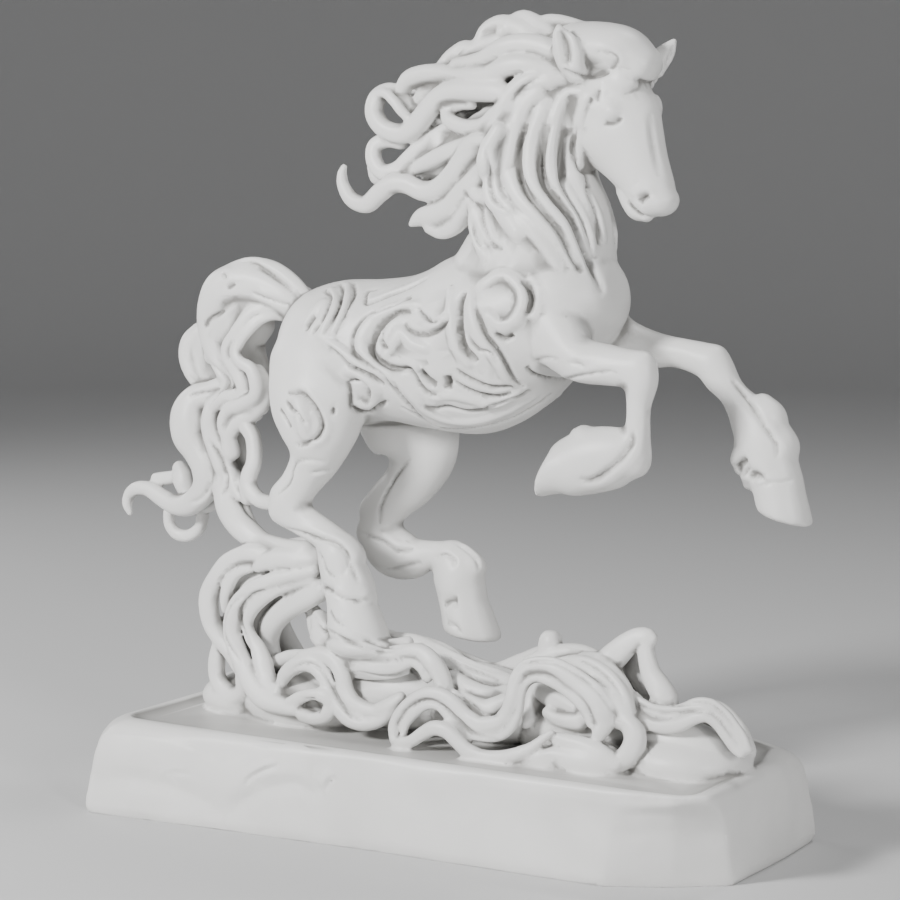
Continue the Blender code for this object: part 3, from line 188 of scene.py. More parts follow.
FAR_THIGH = [(-56, 20, 286, 44, 24), (-46, 24, 268, 42, 23), (-42, 27, 248, 37, 21), (-37, 28, 230, 26, 17),
             (-44, 28, 213, 18.5, 13), (-59, 28, 199, 15.5, 12), (-69, 28, 187, 16, 11)]
FAR_HIND_CANNON = [(-74, 28, 179, 13, 10), (-60, 28, 167, 18, 10), (-43, 28, 163, 15, 9),
                   (-28, 28, 166, 9.5, 8.5), (-14, 28, 166, 11, 10)]
FAR_HIND_PASTERN = [(-14, 28, 166, 13, 11), (-9, 28, 157, 18.5, 14), (-7, 28, 148, 17, 14),
                    (-5, 28, 140, 17, 14.5)]

LIMBS = [TRUNK, NECK, HEAD, HOOD, NEAR_FORELEG, NEAR_FORE_CANNON, NEAR_FORE_PASTERN, FAR_FORELEG,
         FAR_FORE_CANNON, FAR_FORE_PASTERN, NEAR_THIGH, NEAR_HIND_CANNON, NEAR_HIND_PASTERN, FAR_THIGH,
         FAR_HIND_CANNON, FAR_HIND_PASTERN]

# Muzzle, far brow, eyelids and the sides of the brow: centre and half sizes; then the lower lip
FACE = [((145.5, 0, 394.5), (11.5, 10.5, 9.5)), ((134.5, 12, 448), (5, 7, 9)),
        ((121.5, -14.5, 446), (6.5, 4.5, 4.5)), ((119, 14.5, 446), (6.5, 4.5, 4.5)),
        ((123, -10.5, 464.5), (13, 7, 9)), ((123, 10.5, 464.5), (13, 7, 9))]
LOWER_LIP = [(125, 0, 401, 8, 8), (128, 0, 394, 7.5, 8), (131.5, 0, 388.5, 6.5, 8), (136.5, 0, 385.5, 4, 6)]

# Swellings of joints and tufts of hair above the hooves: far fore, near hind, far hind, near fore
TUFTS = [
    [(199, 30, 272, 9, 9), (204, 30, 267, 10, 10), (207, 30, 261, 9, 9)],
    [(209, 30, 257, 9, 10), (213, 30, 250, 9.5, 11), (214, 30, 244, 8, 10)],
    [(192, 30, 248, 9, 12), (188, 30, 240, 8, 12), (187, 30, 236, 5, 8)],
    [(198, 30, 238, 8, 12), (194, 30, 231, 7, 12), (193, 30, 227.5, 5, 8)],
    [(-58, -28, 177, 8, 8), (-52, -28, 171, 8, 8), (-51, -28, 164, 6, 8)],
    [(-48, -28, 154, 7.5, 9), (-44, -28, 147, 7.5, 10), (-44, -28, 139, 7, 10)],
    [(-64, -28, 158, 7, 10), (-68, -28, 150, 6.5, 9), (-67, -28, 145, 4, 6)],
    [(-6, 28, 167, 8, 8), (3, 28, 161, 7.5, 9), (3, 28, 154, 6, 8)],
    [(119, -36, 255, 8, 10), (113, -36, 258, 6, 8), (110.5, -36, 258.5, 3.5, 6)],
]
CRISP = [NEAR_EAR, FAR_EAR, LOWER_LIP] + TUFTS

# Hooves: heel and toe of the sole (x, z), middle of the top (x, y, z), half width, top length
HOOVES = [((99, 252), (83, 218), (111, -36, 239), 16, 36),
          ((197, 212), (232.5, 203), (210, 30, 229), 16, 34),
          ((-69, 120), (-26, 120), (-53, -28, 142), 17, 34), ((-18, 119), (23, 114), (-4, 28, 139), 17, 35)]

# Ridges of hair down each side of the neck: x, z, radius, as the eye sees them on the plane of that y.
# The first so many are on the near side alone, where the neck is turned
NECK_PLANE = -30
NEAR_ONLY = 1
NECK_RIDGES = [
    [(107, 425, 4.5), (106, 414.5, 5.5), (107.5, 404.5, 5.5), (114, 394, 5.5), (120, 383.5, 5),
     (123.5, 372.5, 4)],
    [(92, 441, 4), (89, 431.5, 5.5), (88.5, 419.5, 5.5), (91, 408, 6), (98, 398, 6), (107, 386.5, 5.5),
     (113.5, 374.5, 5), (116.5, 365, 3.5)],
    [(85.5, 451, 4.5), (78, 438, 6), (75, 426, 6), (75, 414, 6.5), (78, 403.5, 6.5), (87, 392.5, 6.5),
     (97, 382, 6.5), (105, 370, 5.5), (111, 359.5, 4)],
    [(84, 464, 4.5), (74, 454, 6.5), (66, 442.5, 7.5), (61, 430.5, 8), (58.5, 418.5, 8.5), (61, 406.5, 8.5),
     (68, 395.5, 8), (79.5, 386, 7.5), (90, 375.5, 6.5), (99, 363.5, 5), (103.5, 357, 4)],
    [(55.5, 436, 4.5), (50, 425, 6), (48.5, 414, 6.5), (51, 403, 6.5), (57.5, 392.5, 7), (68, 383.5, 7),
     (79.5, 374, 6.5), (88.5, 363.5, 5), (94, 356, 4)],
]

# Raised scrolls on each flank: x, z, radius, as the eye sees them on the plane of that y
FLANK_PLANE = -36
SCROLLS = [
    [(0, 331, 3), (-12, 329, 4.5), (-24, 325, 5.2), (-33, 318, 5.4), (-39, 310, 5.4), (-39.5, 303, 5.4),
     (-35, 296.5, 5.2), (-27, 291, 5), (-17, 286, 5), (-8, 279.5, 5), (0, 272, 5), (9, 265, 4.5),
     (24, 261, 4), (44, 262, 4), (64, 269, 3.5), (80, 278, 3)],
    [(-66, 306, 3), (-57, 301, 4), (-46, 295, 4.5), (-34, 291, 4.5)],
    [(-52, 287, 3), (-44, 288, 4), (-34, 283, 4.5), (-29, 276, 4.5), (-33, 268, 4), (-41, 268, 3.5)],
    [(-22, 300, 4), (-16, 308, 5), (-12, 314, 4.5), (-4, 307, 4), (6, 304, 3.5)],
    [(6, 319, 3), (14, 320, 3.5), (21, 326, 3), (24, 334, 3)],
    [(12, 274, 3), (24, 276, 3.5), (40, 274, 3.8), (56, 273, 3.8), (72, 282, 3)],
    [(-76, 243, 3), (-83, 247, 5), (-84, 256, 6.5), (-86, 264, 5.5), (-90, 270, 3)],
    [(-82, 316, 3), (-74, 325, 4), (-67, 330, 4), (-70, 316, 3)],
    [(-62, 338, 3), (-59, 328, 4), (-64, 317, 4), (-71, 308, 3)],
    [(-50, 341, 3), (-50, 331, 4), (-54, 321, 4), (-61, 311, 3)],
    [(46, 344, 4), (60, 350, 5), (72, 343, 5.5), (74, 333, 5.5), (68, 323, 5.5), (58, 320, 5),
     (50, 326, 4.5)],
    [(38, 340, 3), (38, 328, 4), (42, 316, 4.5), (50, 306, 4.5), (58, 296, 4.5), (64, 288, 4),
     (74, 284, 3)],
    [(24, 340, 3), (23, 328, 4), (24, 316, 4), (28, 304, 4), (36, 296, 3.5)],
]

# Locks of the tail: x, y, z, radius. Those of the near side first, the deeper ones last
TAIL = [
    [(-96, -3, 320, 6), (-103, -4, 329, 6), (-112, -4, 338.5, 6), (-125, -4, 346.5, 6),
     (-139, -4, 349.5, 6), (-153, -4, 348.5, 5.5), (-166, -4, 344, 5)],
    [(-94, -2, 312, 9), (-107, -3, 321, 10), (-119, -4, 330, 11.5), (-134, -4, 336, 12.5),
     (-151, -4, 338, 13.5), (-165, -4, 334, 14), (-172, -4, 324, 13), (-175.5, -4, 313, 11),
     (-174.5, -5, 302, 9.5), (-169, -6, 291, 8.5), (-163.5, -6, 281, 8), (-160, -6, 273, 7),
     (-167, -6, 265.5, 7), (-176, -6, 260, 7)],
    [(-122, -4, 333, 8), (-139.5, -4, 328, 10), (-152.5, -4, 321, 10), (-163, -5, 311.5, 9),
     (-170.5, -5, 300.5, 8), (-175, -5, 290, 6.5)],
    [(-192.5, 3, 306, 5), (-198, 3, 298, 7.5), (-199.5, 3, 288.5, 8), (-195, 2, 279, 8), (-188, 1, 271, 7)],
    [(-187, 4, 300, 8.5), (-188, 4, 290, 9), (-186, 4, 279, 9), (-180, 2, 268, 8)],
    [(-144, 6, 310, 9), (-152, 6, 300, 10), (-151, 6, 290, 9.5), (-147, 5, 281, 9)],
    [(-163, 4, 250, 9), (-157, 3, 236, 9), (-156, 2, 224, 8.5), (-157, 0, 213, 8.5)],
    [(-163, -6, 273, 6), (-176, -6, 266.5, 7.5), (-188, -6, 261, 10), (-193.5, -6, 251, 13),
     (-192.5, -7, 238, 13), (-185, -8, 227.5, 11), (-178.5, -9, 218.5, 10.8), (-177, -9, 209, 10.5),
     (-181.5, -9, 200, 9), (-193, -8, 191.5, 8), (-206, -7, 190, 7), (-218, -6, 194, 6.2),
     (-229, -5, 198.5, 5.5), (-238.5, -5, 198.5, 5), (-246, -4, 194, 4.4), (-248.5, -4, 187, 3.6),
     (-246.5, -4, 181, 2.2)],
    [(-228, 2, 205, 4.2), (-222, 2, 205.3, 4.8), (-213, 2, 206.5, 4.8)],
    [(-208.5, 2, 213, 5.5), (-206, 2, 208.5, 7.5), (-203.5, 1, 203, 7.5), (-200, 0, 198, 6)],
    [(-156, -12, 212, 7), (-148, -14, 205, 7), (-139, -17, 201, 6)],
    [(-219.5, 4, 183, 4.1), (-220, 5, 174.5, 4.1), (-214.5, 6, 168, 4.4), (-204.5, 6, 167.5, 4.4),
     (-195, 5, 173.5, 4.4), (-191, 3, 182.5, 4.6)],
    [(-104, -5, 322, 4), (-117, -7, 323, 4.4), (-128.5, -9, 322.5, 4.8), (-139, -11, 320, 4.8),
     (-146, -13, 312.5, 4.6), (-152, -14, 304.5, 4.4), (-157, -14, 297.5, 4.4), (-156.5, -14, 290, 4.6),
     (-150, -14, 282, 5), (-144.5, -14, 273, 5.3), (-146, -14, 267.5, 5), (-158, -13, 264, 5),
     (-170, -12, 258, 5.4), (-173.5, -12, 248.5, 6), (-172, -12, 239.5, 6.4), (-167, -12, 229, 7),
     (-162, -12, 218.5, 7.2)],
    [(-106, -5, 316, 3), (-118, -7, 317.5, 3), (-126, -10, 318, 3.3), (-134, -12, 314.5, 3.6),
     (-140, -14, 308.5, 3.6), (-146, -15, 301.5, 3.6), (-149, -16, 294.5, 3.8), (-145.5, -17, 288.5, 4),
     (-136.5, -17, 284, 4.6), (-132, -17, 275, 5.4), (-133, -17, 267, 5.2), (-143, -16, 261.5, 4.8),
     (-155, -15, 256.5, 4.8), (-160.5, -14, 248, 5), (-158, -13, 239, 5.3), (-155.5, -12, 228.5, 5.5)],
    [(-134, -12, 282.5, 4.5), (-129, -12, 273.5, 4.5), (-129.5, -12, 263, 5), (-138, -12, 254.5, 5.3),
     (-148.5, -13, 249, 5.3), (-155, -13, 242, 5)],
    [(-146, -12, 248, 5.5), (-138, -14, 240.5, 5.5), (-135, -16, 231.5, 5.5), (-134.5, -18, 222.5, 5.5),
     (-137.5, -19, 214.5, 5.8), (-136, -20, 207, 5.8), (-127.5, -22, 200.5, 5.3), (-116, -24, 199.5, 5),
     (-103, -26, 203, 5)],
    [(-173, -6, 250, 6.5), (-172, -6, 240, 7), (-166.5, -8, 227, 7.5), (-162, -9, 215.5, 9),
     (-159.5, -10, 203, 11), (-155, -11, 190.5, 11.5), (-145, -13, 179, 9.5), (-129, -16, 172, 7),
     (-111, -19, 170, 6.5), (-92, -22, 170, 7)],
    [(-112, 4, 326, 12), (-134, 7, 330, 14), (-154, 9, 326, 14), (-166, 9, 312, 12), (-167, 8, 298, 11),
     (-166, 8, 288, 11), (-161, 6, 276, 10.5), (-156, 5, 264, 9.5), (-162, 3, 250, 9), (-165, 2, 236, 8.5),
     (-162, 1, 223, 7.5), (-161, 1, 210, 7)],
    [(-98, 8, 316, 9), (-118, 13, 322, 10), (-140, 17, 326, 10), (-156, 18, 318, 9.5), (-162, 18, 304, 9),
     (-158, 17, 290, 8.5), (-164, 16, 276, 9), (-176, 14, 262, 10), (-186, 12, 248, 10),
     (-182, 10, 231, 10), (-172, 8, 215, 9.5), (-170, 5, 202, 9), (-184, 2, 193, 7.5), (-198, 0, 189, 6)],
]

# Locks of the mane: x, y, z, radius. Those of the near side first, then the core and the far side
MANE = [
    [(92, 2, 493, 7), (79, 0, 498, 6), (70, -2, 499.5, 5), (64, -5, 496, 4.5)],
    [(75, -6, 491, 6), (64.5, -4, 498, 6), (54.7, -2, 502, 5.5), (48, -4, 499.5, 5), (44, -8, 494, 4.5)],
    [(66, -8, 490, 6), (52, -6, 496.5, 6), (40.5, -4, 499, 6), (31, -4, 495.5, 5.5), (27, -6, 489.5, 4.5),
     (23.5, -8, 483.5, 3.5)],
    [(88, -17, 481, 6.5), (72, -18, 485.5, 6.5), (60, -18, 486, 6.8), (48.5, -18, 483.5, 6.8),
     (37, -16, 478, 6.4), (26, -14, 475.5, 6), (14, -12, 474.5, 5)],
    [(30, -8, 478, 5), (18, -6, 485, 5), (10.5, -6, 482, 5.5), (4, -6, 477, 5.5), (-1, -8, 470, 5)],
    [(88, -18, 466, 6), (78.5, -20, 471, 6), (67, -22, 474, 6.2), (54.5, -22, 473, 6.5),
     (42, -20, 468.5, 6.5), (29.5, -18, 467.5, 6.5), (15.5, -14, 468, 6.5), (2.5, -12, 470, 6.2),
     (-10, -11, 470, 6), (-21, -10, 467, 6), (-27, -9, 460, 5)],
    [(61, -24, 455.5, 5.5), (47, -22, 458.5, 7), (33, -20, 459, 7), (19, -18, 459.5, 6.8),
     (6, -16, 456.5, 6.8), (-3.5, -15, 449, 7), (-12, -14, 440.5, 7), (-23, -13, 434, 6.5),
     (-36.5, -13, 436.5, 6.2), (-44.5, -13, 445.5, 6.2), (-43, -12, 455.5, 6), (-35, -10, 460, 5.2),
     (-27, -9, 456, 5), (-21.5, -9, 448, 4.2)],
    [(-42, -15, 457.5, 3), (-35, -16, 458.5, 3.2), (-28, -17, 453.5, 3.4), (-22, -17, 447, 3.4),
     (-16, -16, 441.5, 2.8)],
    [(14, -8, 440, 6), (5, -8, 436, 5.5), (-7, -9, 429.5, 5.5), (-20, -10, 419.5, 5.5),
     (-29.5, -10, 412, 5.3), (-40, -10, 410, 5.6), (-47.5, -9, 417, 5.4), (-47.5, -8, 426, 5.2),
     (-39.5, -7, 429.5, 4.8), (-30, -6, 428, 4.5)],
    [(-34, -5, 406, 5), (-42.5, -4, 405.5, 4.6), (-50.5, -2, 406.5, 4.2), (-55, 0, 413.5, 3.5)],
    [(55, -25, 422, 5), (46, -24, 425, 5.5), (35, -23, 425.5, 6.4), (25.5, -21, 419.5, 6.8),
     (16, -19, 409.5, 6.8), (4, -17, 400.5, 6.7), (-8, -16, 399, 6.4), (-19, -16, 403, 6.2),
     (-29.5, -16, 403, 6.2), (-39, -16, 397.5, 6.2), (-49, -15, 390.5, 5.8), (-60, -15, 393, 5.1),
     (-67, -14, 401, 4.2), (-69, -13, 408, 3.4), (-67.5, -13, 413, 2.3)],
    [(50, -25, 412, 6), (42, -24, 413.5, 6), (34, -22, 407, 6.5), (24, -20, 399, 7), (14, -18, 390.5, 7),
     (2, -16, 385.5, 6.8), (-8, -14.5, 383.5, 6), (-13.5, -14, 381, 4.5), (-17.5, -14, 378.5, 2.2)],
    [(44, -26, 396, 5), (35.5, -24, 396, 5), (25.5, -20, 388, 5.5), (17, -17, 379.5, 5.8),
     (5.5, -15, 374.5, 5), (-4.5, -14, 376.5, 4)],
    [(58, -25, 450, 5), (48, -24, 444.5, 5.5), (39.5, -22, 438.5, 5.5), (25.5, -20, 437.5, 5),
     (12.5, -18, 441.5, 4.8), (10, -16, 447.5, 4), (18, -16, 450.5, 3.6), (27.5, -17, 450.5, 3)],
    [(54, -25, 433, 4.5), (45.5, -24, 431.5, 4.5), (33, -22, 430, 4.5), (21.5, -20, 426, 5),
     (8, -17, 421.5, 5.5), (-4, -14, 417, 5.2), (-13.5, -12, 413.5, 4.2), (-21, -11, 409.5, 2.4)],
    [(22, -22, 418, 4.5), (25, -23, 421, 5), (31.5, -25, 427.5, 5.2), (42, -26.5, 429, 5.2),
     (49.5, -27.5, 423, 5), (49.5, -28, 412, 4.8), (47, -29, 401, 5), (51, -31, 392.5, 5),
     (61.5, -33, 388, 4.5)],
    [(63.5, -21, 454, 7.5), (54, -21, 440, 8.5), (48.5, -22, 423, 9.5), (49.5, -24, 406.5, 9.5),
     (57.5, -27, 390, 9.5), (69, -30, 376, 8)],
    [(32.5, -18, 412, 7), (33.5, -19, 398, 8), (39, -23, 384, 8), (49.5, -27, 371.5, 7)],
    [(75, -20, 458, 7), (68, -21, 450, 7.5), (62, -22, 438, 8)],
    [(33, -23, 402, 4), (35.5, -25, 392, 4.4), (35.5, -27, 381, 4.6), (40, -29, 369, 4.6),
     (47, -31, 360, 4)],
    [(84, -21, 464, 5), (71, -23, 465, 5.5), (61.5, -24, 460, 5.5), (55.5, -25, 451, 5.5),
     (49.5, -25, 442, 5.5), (44, -24, 434, 5)],
    [(62, -3, 472, 17), (42, -3, 467, 16), (24, -3, 462, 14), (6, -3, 457, 12), (-12, -3, 455, 9)],
    [(58, -4, 442, 19), (38, -4, 434, 18), (20, -5, 424, 16), (4, -5, 418, 12), (-8, -6, 416, 8)],
    [(54, -4, 410, 19), (36, -6, 400, 16), (22, -8, 390, 13), (8, -9, 384, 9)],
    [(0, -4, 428, 12), (-10, -4, 419, 9.5), (-20, -5, 414, 7)],
    [(40, -4, 488, 8), (24, -4, 483, 8), (14, -4, 475, 8)],
    [(84, -10, 458, 12), (76, -12, 438, 13), (73, -13, 418, 13), (77, -14, 400, 13), (88, -16, 384, 12)],
    [(80, 14, 480, 9), (62, 18, 484, 9), (44, 19, 481, 9), (26, 18, 474, 9), (10, 16, 466, 8.5),
     (-8, 13, 459, 8), (-24, 10, 456, 6.5), (-36, 8, 460, 5)],
    [(74, 20, 464, 9), (56, 24, 464, 9), (38, 24, 456, 9), (22, 21, 446, 8.5), (6, 17, 440, 8),
     (-10, 13, 440, 7), (-22, 10, 446, 5.5)],
    [(54, 25, 442, 9), (36, 24, 432, 8.5), (18, 20, 424, 8.5), (2, 15, 414, 8), (-14, 11, 410, 7),
     (-26, 9, 414, 5.5)],
    [(52, 25, 418, 9), (36, 22, 404, 8), (20, 18, 394, 8), (4, 13, 390, 7), (-10, 9, 394, 6),
     (-20, 6, 402, 4.5)],
    [(50, 27, 398, 8), (42, 28, 384, 7), (44, 29, 370, 6), (52, 31, 358, 5)],
]

# Ribs of the water: x, y, z, radius
WAVES = [
    # Outer arc left of the near hind leg
    [(-120, -22, 165, 5), (-132.5, -22, 165.5, 6), (-143, -21, 163, 6), (-154.5, -20, 156.5, 6.5),
     (-163, -20, 146.5, 6.5), (-169, -20, 135.5, 7), (-169.5, -20, 124.5, 7), (-166.5, -20, 114, 6.5),
     (-159, -21, 105.5, 6), (-150.5, -23, 98.5, 5.5), (-142.5, -25, 90, 5)],
    [(-127.5, -24, 157, 4), (-120, -24, 161, 6), (-109, -24, 164, 7), (-96.5, -24, 165, 7),
     (-85.5, -22, 166, 7)],
    [(-133.5, -23, 155.5, 3), (-145, -22, 151.5, 4), (-152, -22, 143.5, 4.5), (-155, -22, 134, 4),
     (-154.5, -23, 126.5, 3)],
    [(-131.5, -8, 149, 6.5), (-146, -8, 142.5, 7), (-157, -8, 130.5, 7), (-159, -10, 118.5, 6)],
    # Double ribbon from the near hind fetlock down to the block
    [(-82.5, -26, 158.5, 3.5), (-97.5, -27, 155, 4), (-114.5, -28, 150, 5), (-129.5, -28, 142.5, 5.5),
     (-140, -28, 133, 6), (-144.5, -28, 122.5, 6.5), (-145, -28, 112, 6.5), (-140.5, -29, 102, 6.5),
     (-133.5, -31, 92, 7), (-125, -34, 83, 8), (-113.5, -37, 75.5, 8.5), (-99, -40, 73, 7),
     (-88, -42, 72, 5.5)],
    [(-85, -25, 152.5, 3.5), (-98.5, -26, 148.5, 3.5), (-112, -27, 143, 4), (-123, -27, 136, 4.5),
     (-131, -27, 128, 4.5), (-134, -27, 119.5, 4), (-131.5, -27, 111.5, 4.5), (-125, -28, 104.5, 5.5),
     (-120, -30, 96, 6.5), (-114.5, -33, 86.5, 6.5), (-104, -37, 78.5, 6.5)],
    [(-78.5, -23, 146, 7.5), (-92.5, -23, 139, 8), (-109, -20, 130, 8), (-122, -16, 119, 8),
     (-127.5, -12, 107, 7), (-126.5, -10, 96, 6.5), (-124, -10, 86.5, 6)],
    [(-117, -20, 95, 5), (-104.5, -22, 100.5, 4.5), (-89, -24, 104, 3.5)],
    [(-161.5, -21, 103.5, 4.5), (-163, -21, 92.5, 6), (-163, -21, 82.5, 6), (-158, -22, 74.5, 6.5),
     (-147.5, -24, 70, 7), (-138.5, -26, 75, 6), (-139.5, -27, 84, 4.5)],
    [(-163, -14, 68.5, 6.5), (-154, -14, 65, 7), (-143, -16, 67, 6)],
    # Arch in front of the hoof, two ribs
    [(-85, -35, 105, 5), (-71, -37, 108, 5), (-60.5, -38, 105, 5), (-53.5, -39, 97.5, 5.5),
     (-50, -40, 88, 5.5), (-44, -41, 81, 5.5), (-36, -41, 77.5, 5.5), (-26.5, -41, 77.5, 5),
     (-17.5, -41, 82, 5), (-10, -40, 87.5, 4)],
    [(-102, -36, 85, 3.5), (-98.5, -36, 92, 5), (-89, -37, 99.5, 5.5), (-77.5, -38, 101, 5.5),
     (-68, -39, 96, 5.5), (-62.5, -40, 87, 5.5), (-55, -42, 78, 5.5), (-46, -43, 71.5, 6),
     (-36, -43, 69.5, 6), (-27, -42, 71, 5.5), (-18.5, -41, 75.5, 5), (-13, -40, 82, 4)],
    [(-91, -41, 74, 5.5), (-82.5, -43, 80, 4.5), (-72.5, -44, 83.5, 4), (-63.5, -44, 83, 4.5),
     (-59.5, -43, 78, 4.5), (-62.5, -43, 71.5, 5), (-71, -43, 68, 4.5), (-81, -42, 68.5, 5)],
    # Sheet that the near hoof stands on, in ribs that run to the right
    [(-92, -14, 130, 5.5), (-86, -17, 123, 7.5), (-80, -21, 116, 7.5), (-69, -26, 112, 6.5)],
    [(-75, -18, 125, 6.5), (-64, -22, 119, 5.5), (-49.5, -25, 116, 4.5), (-36, -27, 115.5, 4),
     (-24, -27, 116.5, 4.5), (-13, -26, 119.5, 4)],
    [(-81, -22, 126.5, 7), (-73, -28, 117.5, 7), (-59, -32, 112, 6), (-44, -34, 110.5, 5),
     (-30.5, -34, 111, 5), (-18.5, -34, 113, 5), (-8, -34, 116, 5), (2, -34, 116, 5.5), (10.5, -35, 111, 6),
     (16, -35, 104, 6), (19.5, -36, 97, 5.5)],
    [(-79, -27, 118, 6.5), (-66.5, -32, 110, 5.5), (-53, -34, 104.5, 5), (-40, -35, 103, 5.5),
     (-27.5, -35, 103.5, 5.5), (-14.5, -35, 106, 5), (-4.5, -35, 110, 4), (3.5, -36, 107, 4),
     (7.5, -37, 101, 3.5)],
    [(-48, -34, 97.5, 3), (-33.5, -34, 97.5, 3), (-18.5, -34, 99.5, 2.5), (-8, -34, 103, 2)],
    # Crest that runs to the right behind the arches
    [(-51, -4, 116.5, 7), (-33, -8, 115.5, 6.5), (-16.5, -10, 115, 7), (-0.5, -12, 111, 7),
     (15.5, -14, 106.5, 6.5), (31.5, -16, 103, 6), (48, -18, 101.5, 6), (57, -20, 100.5, 5.5)],
    [(18.5, -24, 100, 5.5), (30.5, -27, 96, 6), (41, -28, 93, 6.5), (51.5, -28, 93, 6), (60, -28, 96, 5.5)],
    [(27.5, -34, 91.5, 4.5), (38.5, -36, 88.5, 5.5), (49.5, -37, 87, 6), (55, -37, 89, 5.5),
     (63, -36, 93.5, 4.5)],
    # Front ribbon, two ribs, over the tall arch
    [(-8, -50, 63, 3.5), (-9.5, -49, 71, 3.5), (-5, -48, 80, 4), (2.5, -47, 88, 4), (12, -46, 93.5, 4.5),
     (22, -46, 94.5, 4.5), (31.5, -46, 90.5, 5), (40, -46, 83.5, 5), (49.5, -46, 79, 5.5),
     (54.5, -46, 79, 5.5), (63, -46, 81.5, 5), (68.5, -45, 88, 4.5), (72, -45, 97, 4.5),
     (74, -44, 107, 4.5), (79, -43, 115.5, 4.5), (88, -42, 119, 4.5), (98.5, -42, 119, 5),
     (107.5, -41, 115, 6), (116.5, -40, 109.5, 6.5), (125.5, -40, 103.5, 7), (131, -40, 95.5, 7),
     (132, -40, 88, 6), (129.5, -42, 82, 5)],
    [(-1.5, -50, 66, 2.5), (-1, -49, 73, 3), (5, -48, 81, 3.5), (13.5, -47, 87, 3.5), (22, -47, 87.5, 3.5),
     (30, -47, 81, 3.5), (38, -47, 75, 3.5), (46.5, -47, 72, 3.5), (56.5, -47, 72, 3.5),
     (56, -46, 71.5, 3.5), (64.5, -46, 73.5, 3.5), (72.5, -46, 80, 3.5), (76.5, -45, 89, 3),
     (77.5, -44, 99, 3), (80.5, -43, 107, 3.5), (87.5, -42, 111, 3.5), (97, -42, 110, 4),
     (106.5, -41, 106, 4.5), (115.5, -41, 100.5, 5), (121.5, -40, 94, 5), (124, -41, 87.5, 4)],
    [(-3.5, -52, 62, 3.5), (5.5, -52, 64.5, 4), (13.5, -52, 70, 4.5), (22, -52, 74.5, 5),
     (31, -52, 73.5, 5), (38, -52, 68.5, 5), (45, -52, 63.5, 5), (55, -52, 61, 4.5), (66.5, -52, 61.5, 4.5),
     (78, -52, 64.5, 4.5), (88.5, -51, 70, 3.5), (97.5, -50, 77.5, 2.5), (101, -49, 80.5, 2)],
    # Curl in the hollow of the tall arch
    [(75, -21, 101, 5), (82, -24, 98, 6), (91, -27, 96, 6.5), (100, -29, 95, 6), (108, -31, 93, 5)],
    [(111, -31, 95, 4.5), (116, -34, 90.5, 5), (113, -35, 86, 5.5), (105.5, -35, 85, 5),
     (97, -34, 85.5, 4.5), (90, -33, 88, 4)],
    [(74, -24, 99, 3.5), (74, -26, 90, 4), (75.5, -30, 82, 4), (75, -34, 79, 3)],
    # Foot of the tall arch, spread on the block
    [(99, -45, 77, 3.5), (108.5, -45, 75, 5.5), (121, -45, 73, 6.5), (133, -45, 69.5, 6.5),
     (141.5, -45, 65, 4.5)],
    [(92, -50, 64, 4), (103.5, -48, 66.5, 5.5), (116.5, -47, 65, 6), (129.5, -46, 63, 5)],
    # Ring at the right of the tall arch
    [(139, -37, 89, 4.5), (147, -37, 88, 6.5), (151.5, -38, 81, 7.2), (149, -39, 72.5, 7.2),
     (142, -40, 66, 6.5), (136, -42, 63, 5.5)],
    [(85, -17, 113.5, 4), (93, -20, 115.5, 5), (103, -23, 117.5, 6), (115, -26, 116.5, 7),
     (127, -29, 111.5, 7.5), (136, -32, 104.5, 7.5), (142, -34, 97.5, 6.5), (145, -36, 91, 5.5)],
    [(108, -20, 121, 4.5), (118, -21, 120, 5.5), (129, -24, 114, 5.5), (138, -27, 107, 5),
     (143, -30, 99, 4)],
    # Hump behind the tall arch, with the cut stub
    [(68, -14, 112.5, 6), (81, -12, 117.5, 7), (95, -10, 120, 7.5), (109, -12, 118.5, 7.5),
     (122, -16, 113, 7.5), (132.5, -20, 106, 6)],
    [(79, -9, 112, 8.5), (79, -9, 118, 8.2), (78.6, -9, 123, 8), (78.6, -9, 126, 7.8)],
    # Horn of water and its right leg
    [(114, -14, 116, 8), (120, -14, 119, 8.5), (127, -15, 124.5, 8.5), (134, -15, 131, 7.5),
     (141, -15, 136, 6.2), (146.5, -15, 137, 5.6), (149, -15, 136, 5)],
    [(146, -15, 133, 5.5), (148, -16, 124, 6), (151.5, -17, 115, 6.8), (157, -18, 108, 7.8),
     (162, -19, 102, 7.5), (164.5, -20, 97, 6)],
    [(130.5, -2, 124, 6), (132, -2, 114.5, 6.5), (138, -3, 107, 6.5), (145.5, -5, 101, 6.5)],
    [(125, -3, 113, 6), (126, -3, 103.5, 6.5), (129, -4, 94, 7)],
    # Tendril that runs down to the right end of the block
    [(139, -24, 105, 3), (149, -26, 99.5, 3.5), (159.5, -28, 96, 4.5), (170.5, -29, 96, 5),
     (179.5, -29, 98.5, 5), (187.5, -29, 103, 4.5), (195, -28, 103.5, 4), (202, -26, 99, 4),
     (208, -25, 92, 4), (213.5, -24, 84, 4), (217, -24, 78.5, 3)],
    [(144.5, -28, 95.5, 3), (153.5, -30, 90, 4.5), (165, -31, 88, 4.5), (177, -32, 90.5, 4.5),
     (186.5, -32, 95.5, 4), (193.5, -31, 97.5, 4), (200, -29, 93.5, 4), (205.5, -28, 86.5, 4),
     (210, -27, 80.5, 4), (214, -27, 77, 3.5)],
    # Far side, plainer
    [(-88, -8, 160, 8), (-110, -10, 153, 11), (-130, -10, 141, 14), (-142, -10, 124, 15),
     (-144, -10, 104, 14), (-137, -12, 86, 14), (-120, -14, 73, 12)],
    [(-100, 6, 168, 8), (-126, 10, 162, 9), (-146, 12, 150, 11), (-156, 12, 132, 12), (-156, 12, 110, 12),
     (-148, 12, 90, 12), (-138, 12, 72, 11), (-118, 14, 64, 9)],
